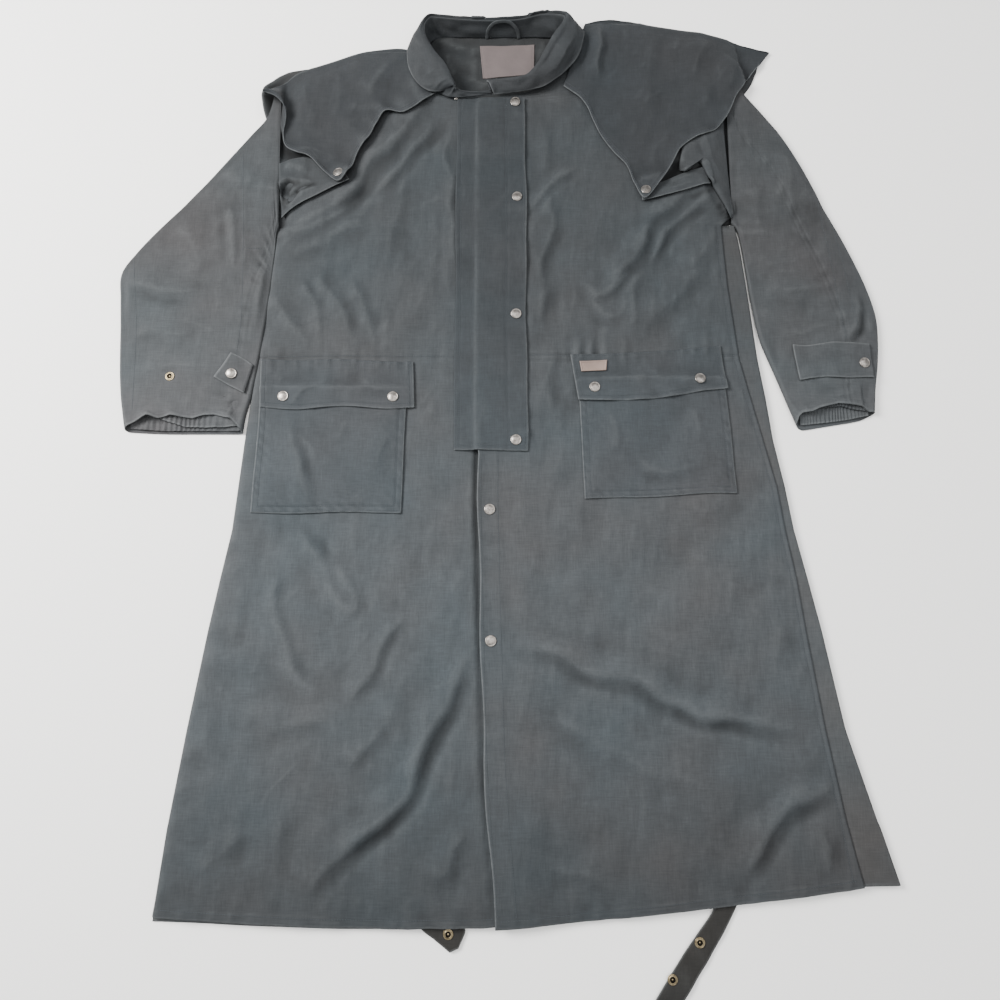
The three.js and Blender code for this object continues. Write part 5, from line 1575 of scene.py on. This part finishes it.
# The neck label: a bare woven patch sewn inside the back of the neck. Its face carries nothing.
def label_material(name, ground_colour, rib_colour, scale, rough):
    """Closely woven ribbon: fine ribs across it and a slightly uneven dye."""
    material, tree, skin, place = new_material(name)
    weave = group_node(tree, WEAVE, place, Thread_Scale=scale)
    mottle = group_node(tree, MOTTLE, place, Patch_Scale=45)
    bump = new_node(tree, "Bump", Strength=0.3, Distance=0.0008, Height=weave["Height"])
    colour = colour_mix(tree, mottle["Hue Mask"], linear(*ground_colour), linear(*rib_colour))
    set_skin(tree, skin, {"Base Color": colour, "Normal": bump.outputs["Normal"], "Roughness": rough})
    return material


low, high = [(-26, 1190), (14, 1194), (52, 1198)], [(-31, 1246), (11, 1247), (53, 1249)]
t = spread(56, 2.4, 1.2, 5)[:, None, None]
shares = spread(84, 2.4, 1.2, 5)
low_edge = through(low, 100)[(shares * 99).round().astype(int)]
high_edge = through(high, 100)[(shares * 99).round().astype(int)]
plan = low_edge[None] + (high_edge - low_edge)[None] * t
x, y = plan[..., 0], plan[..., 1]
sides = side_distances(plan)
rim = nearest(sides, "wesn")
z = 5.4 + 0.5 * waves(x, y, 38, 421) - 0.3 * bell(rim - 2.6, 0.8)
neck_label = sheet_object("neck_label_patch", np.dstack([plan, z]), wall=1.1, edges="", along_z=True)
neck_label.data.materials.append(label_material("label_mauve", (84, 75, 73), (75, 66, 65), 700.0, 0.85))
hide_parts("neck_label")
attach(neck_label, "root")

# The hanger loop: a narrow rolled strip of the coat's cloth, its two ends caught in the neck seam.
# x, and height up the inside of the stand
path = through([(-20, -1), (-19.5, 7), (-16, 15), (-8, 21.5), (4, 24), (15, 22), (23, 16), (27.5, 8),
    (29, -1)], 70)
rings = []
for k, (px, up) in enumerate(path):
    ahead, behind = path[min(k + 1, 69)], path[max(k - 1, 0)]
    tangent = (ahead - behind) / math.dist(ahead, behind)
    ring = []
    for a in np.linspace(0, math.tau, 12, endpoint=False):
        side, away = 2.6 * math.cos(a), 1.1 * math.sin(a) * (1 + 0.25 * math.cos(2 * a))
        rise = up + tangent[0] * side
        ring.append((px - tangent[1] * side, 1261.2 + 0.3 * rise - away + 0.2 * math.sin(k / 3), 5.2
            + rise + 0.3 * away))
    rings.append(ring)
rings = np.array(rings)
faces = [tuple(q) for q in grid_quads(70, 12, 0, False, True)]
faces += [tuple(range(11, -1, -1)), tuple(69 * 12 + i for i in range(12))]
hanger = mesh_object("hanger_loop_strip", rings.reshape(-1, 3), faces, np.full(840, 0.35))
dress(hanger, COLLAR_CLOTH, "hanger_loop")

# Leg straps: folded strips of the same cloth sewn inside the fronts, coming out below the hem.
LEG_STRAPS = [
    # name, sections as one edge x, y, the other edge x, y; seed; flat size, area
    ("leg_strap_left", [(-103, 24, -40, 30), (-101, 0, -44, 0), (-80, -17, -43, -8),
        (-62, -31, -51, -26)], 431, (0.07, 0.064), 0.0030),
    ("leg_strap_right", [(281, 60, 306, 62), (268, 22, 296, 26), (234, -22, 265, -26),
        (195, -76, 225, -84), (185, -92, 214, -104)], 433, (0.192, 0.032), None),
]
STRAP_CLOTH = waxed_cotton("cloth_straps", (36, 37, 36), (39, 36, 33), 1.25)
for name, table, seed, size, area in LEG_STRAPS:
    ends = through(table, 70)
    plan = rows_between(ends[:, :2], ends[:, 2:], spread(30, 2.0, 1.2, 5))
    x, y = plan[..., 0], plan[..., 1]
    sides = side_distances(plan)
    rim = nearest(sides, "wen")
    z = 3.7 + 0.35 * waves(x, y, 36, seed) - 0.35 * bell(rim - 2.5, 0.9)
    strap = sheet_object(name + "_cloth", np.dstack([plan, z]), wall=1.6, edges="wen", along_z=True)
    dress(strap, STRAP_CLOTH, name)

# The pocket label: a bare tan patch sewn on the right pocket's flap, its border pressed up.
t = spread(17, 1.5, 0.9, 3)[:, None]
low = np.array([(114, 717), (149, 719)])
high = np.array([(111.5, 731.5), (150.5, 734)])
plan = rows_between(low[0] + (high[0] - low[0]) * t, low[1] + (high[1] - low[1]) * t,
    spread(37, 1.5, 0.9, 3))
x, y = plan[..., 0], plan[..., 1]
sides = side_distances(plan)
rim = nearest(sides, "wesn")
z = pile_height(x, y, 9, 2) + 0.3 + 1.1 + 0.35 * bell(rim - 1.2, 0.8) - 0.25 * bell(rim - 2.8, 0.6)
pocket_label = sheet_object("pocket_label_patch", np.dstack([plan, z]), wall=1.0, edges="", along_z=True)
pocket_label.data.materials.append(label_material("label_tan", (122, 104, 94), (100, 84, 76), 1100.0, 0.6))
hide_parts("pocket_label")
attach(pocket_label, "root")


# The snaps: pressed nickel caps with a rolled rim, riveted through the doubled cloth.
def turned(name, profile, count=40):
    """A closed body turned about z from (radius, height) points; both ends lie on the axis."""
    points, quads = [(0.0, 0.0, profile[0][1])], []
    for radius, height in profile[1:-1]:
        for a in np.linspace(0, math.tau, count, endpoint=False):
            points.append((radius * math.cos(a), radius * math.sin(a), height))
    points.append((0.0, 0.0, profile[-1][1]))
    rings = len(profile) - 2
    for i in range(count):
        j = (i + 1) % count
        quads.append((0, 1 + j, 1 + i))
        for r in range(rings - 1):
            a, b = 1 + r * count, 1 + (r + 1) * count
            quads.append((a + i, a + j, b + j, b + i))
        last = 1 + (rings - 1) * count
        quads.append((last + i, last + j, len(points) - 1))
    return np.array(points), quads


def metal(name, colour, dark, rough):
    """Plated brass, dulled in patches and brighter where it is handled."""
    material, tree, skin, place = new_material(name)
    tarnish = group_node(tree, MOTTLE, place, Patch_Scale=260, Contrast=2.2)
    set_skin(tree, skin, {
        "Base Color": colour_mix(tree, tarnish["Hue Mask"], linear(*colour), linear(*dark)),
        "Roughness": ranged(tree, tarnish["Light Mask"], rough - 0.08, rough + 0.14),
        "Metallic": 1.0,
    })
    return material


def set_on(name, profile, x, y, on, sink=0.3, count=40):
    """Puts a turned body on a cloth's face, tilted as the cloth lies there."""
    points, faces = turned(name, profile, count)
    radius = max(r for r, _ in profile)
    heights = {}
    for key, (dx, dy) in {"o": (0, 0), "e": (radius, 0), "w": (-radius, 0), "n": (0, radius),
        "s": (0, -radius)}.items():
        start = (np.array([x + dx, y + dy, 90.0]) + SHIFT) / 1000
        hit, place, _, _ = on.ray_cast(start.tolist(), (0, 0, -1))
        heights[key] = place[2] * 1000 if hit else None
    known = [h for h in heights.values() if h is not None]
    tilt_x = (heights["e"] - heights["w"]) / (2 * radius) if heights["e"] and heights["w"] else 0
    tilt_y = (heights["n"] - heights["s"]) / (2 * radius) if heights["n"] and heights["s"] else 0
    base = max(heights["o"] or 0, float(np.mean(known))) - sink
    z = base + points[:, 2] + points[:, 0] * tilt_x * 0.8 + points[:, 1] * tilt_y * 0.8
    world = np.stack([x + points[:, 0], y + points[:, 1], z], -1)
    return mesh_object(name, world, faces)


CAP = [(0, 0), (6.6, 0), (7.3, 0.25), (7.55, 0.8), (7.35, 1.35), (6.8, 1.65), (6.3, 1.6), (6.0, 1.42),
    (5.7, 1.5), (4.4, 1.95), (2.6, 2.3), (1.1, 2.42), (0, 2.45)]
NICKEL = metal("nickel", (152, 147, 141), (96, 90, 85), 0.32)
bpy.context.view_layer.update()
CAPS = [
    ("snap_flap_1", 23, 1142, "storm_flap_cloth"),
    ("snap_flap_2", 25, 986, "storm_flap_cloth"),
    ("snap_flap_3", 23, 803, "storm_flap_cloth"),
    ("snap_flap_4", 22, 618, "storm_flap_cloth"),
    ("snap_front_1", -14, 521, "front_right_cloth"),
    ("snap_front_2", -12, 346, "front_right_cloth"),
    ("snap_pocket_left_1", -301, 680, "pocket_flap_left_cloth"),
    ("snap_pocket_left_2", -149, 680, "pocket_flap_left_cloth"),
    ("snap_pocket_right_1", 132, 694, "pocket_flap_right_cloth"),
    ("snap_pocket_right_2", 279, 706, "pocket_flap_right_cloth"),
    ("snap_cape_left", -237.5, 1021, "cape_front_left_cloth"),
    ("snap_cape_right", 213.5, 995, "cape_front_right_cloth"),
    ("snap_tab_left", -376, 714, "sleeve_tab_left_cloth"),
    ("snap_tab_right", 512, 730, "sleeve_tab_right_cloth"),
]
for name, x, y, on in CAPS:
    cap = set_on(name + "_cap", CAP, x, y, bpy.data.objects[on])
    cap.data.materials.append(NICKEL)
    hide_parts(name)
    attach(cap, "root")
# the small neck stud that the collar stand snaps on, at the band's left end
STUD = [(0, 0), (3.0, 0), (3.4, 0.5), (2.9, 1.2), (2.2, 1.3), (1.9, 2.2), (2.1, 2.9), (1.6, 3.4), (0, 3.6)]
stud = set_on("neck_stud", STUD, -66, 1150.5, bpy.data.objects["front_left_cloth"], sink=-1.5, count=24)
stud.data.materials.append(NICKEL)
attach(stud, "root")

# The sockets: brass rings round a sunk spring, where a cap could be pressed in; the sunk ring is painted
# near black as the shade of the hole.
RING = [(0, 0), (5.9, 0), (6.5, 0.35), (6.45, 0.9), (6.0, 1.25), (5.4, 1.2), (5.1, 1.0), (4.7, 1.55),
    (4.1, 1.85), (3.5, 1.7), (3.1, 1.1), (3.0, 0.45), (1.5, 0.4), (1.2, 0.9), (0, 1.0)]
BRASS = metal("brass", (150, 136, 108), (84, 74, 56), 0.38)
HOLE_SHADE = metal("socket_hole_painted_shade", (34, 31, 27), (16, 15, 14), 0.6)
for name, x, y, on in (
    ("socket_sleeve_left", -462, 710, "sleeve_left_cloth"),
    ("socket_leg_left", -64, -10, "leg_strap_left_cloth"),
    ("socket_leg_right_1", 246, -19, "leg_strap_right_cloth"),
    ("socket_leg_right_2", 211, -61, "leg_strap_right_cloth"),
):
    ring = set_on(name + "_ring", RING, x, y, bpy.data.objects[on])
    ring.data.materials.append(BRASS)
    ring.data.materials.append(HOLE_SHADE)
    # painted shade: the faces of the sunk ring take the near-black metal
    for face in ring.data.polygons:
        off = math.dist(face.center[:2], ((x + SHIFT[0]) / 1000, (y + SHIFT[1]) / 1000)) * 1000
        face.material_index = 1 if 1.25 < off < 3.3 else 0
    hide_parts(name)
    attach(ring, "root")


# The stitching: cotton thread of the cloth's own hue, each stitch a small raised bar with its
# ends drawn into the cloth. The lines lie where the seams, hems and plackets are sewn.
def stitch_bars(lines):
    """Bars for the given lines; each line is points, the piece it lies on, and the stitch pitch."""
    points, faces = [], []
    for line, on, pitch in lines:
        target = bpy.data.objects[on]
        line = np.array(line, float)
        steps = np.linalg.norm(np.diff(line, axis=0), axis=1)
        run = np.concatenate([[0], np.cumsum(steps)])
        count = max(1, int(run[-1] / pitch))
        for k in range(count):
            marks = []
            for share in (0.06, 0.4, 0.74):
                at = (k + share) * run[-1] / count
                x, y = np.interp(at, run, line[:, 0]), np.interp(at, run, line[:, 1])
                start = ((np.array([x, y, 90.0]) + SHIFT) / 1000).tolist()
                hit, place, _, _ = target.ray_cast(start, (0, 0, -1))
                if hit:
                    marks.append(np.array([x, y, place[2] * 1000]))
            if len(marks) < 3:
                continue
            forward = marks[2] - marks[0]
            across = np.array([-forward[1], forward[0], 0.0]) / (np.hypot(*forward[:2]) + 1e-9)
            first = len(points)
            for mark, rise in zip(marks, (-0.05, 0.32, -0.05)):
                for side, up in ((0.3, 0.0), (0.0, 0.2), (-0.3, 0.0), (0.0, -0.3)):
                    points.append(mark + across * side + np.array([0, 0, rise + up]))
            for ring in (0, 4):
                for i in range(4):
                    j = (i + 1) % 4
                    faces.append((first + ring + i, first + ring + j, first + ring + 4 + j, first + ring
                        + 4 + i))
            faces.append((first + 3, first + 2, first + 1, first))
            faces.append((first + 8, first + 9, first + 10, first + 11))
    return np.array(points), faces


def thread_material(name, colour):
    """Cotton thread, a little unevenly faded."""
    material, tree, skin, place = new_material(name)
    mottle = group_node(tree, MOTTLE, place, Patch_Scale=30)
    faded = linear(*[c * 1.18 for c in colour])
    base = colour_mix(tree, mottle["Hue Mask"], linear(*colour), faded)
    set_skin(tree, skin, {"Base Color": base, "Roughness": 0.7})
    return material


def sew(name, lines, material):
    points, faces = stitch_bars(lines)
    thread = mesh_object(name, points, faces)
    thread.data.materials.append(material)
    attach(thread, "root")


def offset_line(top, side, inset, skip=0):
    """A line along one side of a sheet's grid, so many millimetres in from it."""
    sides = side_distances(top)
    away = sides[side]
    line = []
    grid = top if side in "we" else np.swapaxes(top, 0, 1)
    away = away if side in "we" else np.swapaxes(away, 0, 1)
    for row, gap in zip(grid, away):
        order = np.argsort(gap)
        line.append((np.interp(inset, gap[order], row[order, 0]),
            np.interp(inset, gap[order], row[order, 1])))
    return line[skip : len(line) - skip]


THREAD = thread_material("thread_dark", (42, 47, 50))
sew(
    "stitches_storm_flap",
    [
        ([(9, y) for y in np.arange(612, 1144, 8)], "storm_flap_cloth", 3.0),
        ([(34.5, y) for y in np.arange(610, 1144, 8)], "storm_flap_cloth", 3.0),
        ([(-57, y) for y in np.arange(608, 1148, 8)], "storm_flap_cloth", 3.0),
        ([(x, 610) for x in np.arange(-56, 34, 8)], "storm_flap_cloth", 3.0),
    ],
    THREAD,
)
sew(
    "stitches_fronts",
    [
        (offset_line(left_top, "s", 9.5, 3), "front_left_cloth", 3.2),
        (offset_line(right_top, "s", 9.5, 3), "front_right_cloth", 3.2),
        ([(look(FRONT_EDGE, y, 1) + PLACKET, y) for y in np.arange(12, 600, 10)], "front_right_cloth", 3.0),
        ([(look(FRONT_EDGE, y, 1) + 4, y) for y in np.arange(12, 600, 10)], "front_right_cloth", 3.0),
        ([(look(BODY, y, 3) - 6, y) for y in np.arange(50, 930, 10)], "front_right_cloth", 3.2),
        ([(x, WAIST_LEFT) for x in np.arange(-334, -70, 8)], "front_left_cloth", 3.2),
        ([(x, WAIST_RIGHT) for x in np.arange(44, 334, 8)], "front_right_cloth", 3.2),
    ],
    THREAD,
)
PATCH_LINES = []
for (name, a, b, c, d, seed, bulge), outer in zip(PATCHES, (-1, 1)):
    a, b, c, d = [np.array(p, float) for p in (a, b, c, d)]
    on = name + "_cloth"
    for inset in (2.5, 9.0):
        west = [a + (d - a) * t + (inset, inset) for t in (0, 0.5, 0.98)]
        east = [b + (c - b) * t + (-inset, inset) for t in (0, 0.5, 0.98)]
        PATCH_LINES += [(west, on, 3.0), (east, on, 3.0),
            ([a + (inset, inset), b + (-inset, inset)], on, 3.0)]
    bar_y = 0.24
    side = [a + (d - a) * bar_y, b + (c - b) * bar_y][outer > 0]
    PATCH_LINES.append(([side + (-outer * 1.5, 0), side + (-outer * 11, 0)], on, 1.6))
for name, lower, upper, seed in FLAPS:
    on = name + "_cloth"
    PATCH_LINES += [([(px, py + 6.5) for px, py in lower], on, 3.0),
        ([(px, py - 2.5) for px, py in upper], on, 3.0)]
    for start, end, shift in ((lower[0], upper[0], 6.5), (lower[-1], upper[-1], -6.5)):
        PATCH_LINES.append(([(start[0] + shift, start[1] + 4), (end[0] + shift, end[1] - 2)], on, 3.0))
sew("stitches_pockets", PATCH_LINES, THREAD)
SLEEVE_SEAMS = [
    # piece, seam lines, short lines across them
    ("sleeve_left_cloth",
        [[(-382, 1060), (-379, 1019), (-372, 906), (-369, 828), (-368, 801), (-372, 742)],
        [(-531, 894), (-523, 844), (-516, 782), (-512, 660)]],
        [[(-372, 906), (-346, 906)], [(-368, 801), (-350, 801)]]),
    ("sleeve_right_cloth", [[(452, 1030), (466, 995), (472, 938), (479, 875), (485, 810), (488, 764)],
        [(482, 960), (489, 925), (498, 868), (503, 815), (507, 766)], [(507, 700), (508, 672)]], []),
]
sleeve_lines = []
for on, seams, across in SLEEVE_SEAMS:
    sleeve_lines += [(line, on, 3.2) for line in seams + across]
sew("stitches_sleeves", sleeve_lines, THREAD)
cape_lines = []
for name in ("cape_front_left", "cape_front_right"):
    table = CAPE_LEFT if name.endswith("left") else CAPE_RIGHT
    line = []
    for sx, sy, ex, ey in through(table, 60):
        reach = math.dist((sx, sy), (ex, ey))
        line.append((ex + (sx - ex) * 5 / reach, ey + (sy - ey) * 5 / reach))
    cape_lines.append((line[2:-3], name + "_cloth", 3.2))
sew("stitches_capes", cape_lines, THREAD)

# A soft studio: pale floor, a wide light from the upper left and an even sky.
floor_mesh = bpy.data.meshes.new("floor")
floor_mesh.from_pydata([(-3, -3, -0.0002), (3, -3, -0.0002), (3, 3, -0.0002), (-3, 3, -0.0002)], [],
    [(0, 1, 2, 3)])
floor = bpy.data.objects.new("floor", floor_mesh)
bpy.context.collection.objects.link(floor)
pale, tree, skin, place = new_material("pale_floor")
set_skin(tree, skin, {"Base Color": linear(241, 239, 235), "Roughness": 0.9})
floor_mesh.materials.append(pale)

for name, size, energy, location, turn in (
    ("key", 1.0, 138, (-1.7, 0.7, 1.5), (-12, -48, 0)),
    ("fill", 3.0, 70, (0.7, 0.1, 2.5), (0, 0, 0)),
):
    light = bpy.data.lights.new(name, "AREA")
    light.size = size
    light.energy = energy
    lamp = bpy.data.objects.new(name, light)
    lamp.location = location
    lamp.rotation_euler = [math.radians(angle) for angle in turn]
    bpy.context.collection.objects.link(lamp)
world = bpy.data.worlds.new("studio")
world.use_nodes = True
world.node_tree.nodes["Background"].inputs["Color"].default_value = (0.93, 0.96, 1.0, 1.0)
world.node_tree.nodes["Background"].inputs["Strength"].default_value = 0.84
bpy.context.scene.world = world

# The camera hangs over the coat, tilted 10.6 degrees from straight down, as in the photo.
TILT, DISTANCE = math.radians(10.6), 1.030
lens = bpy.data.cameras.new("camera")
lens.lens = 27
lens.sensor_width = 36
camera = bpy.data.objects.new("camera", lens)
AIM = 536.18
aim_y = (AIM + SHIFT[1]) / 1000
camera.location = (SHIFT[0] / 1000, aim_y - DISTANCE * math.sin(TILT), DISTANCE * math.cos(TILT))
camera.rotation_euler = (TILT, 0, 0)
bpy.context.collection.objects.link(camera)
bpy.context.scene.camera = camera
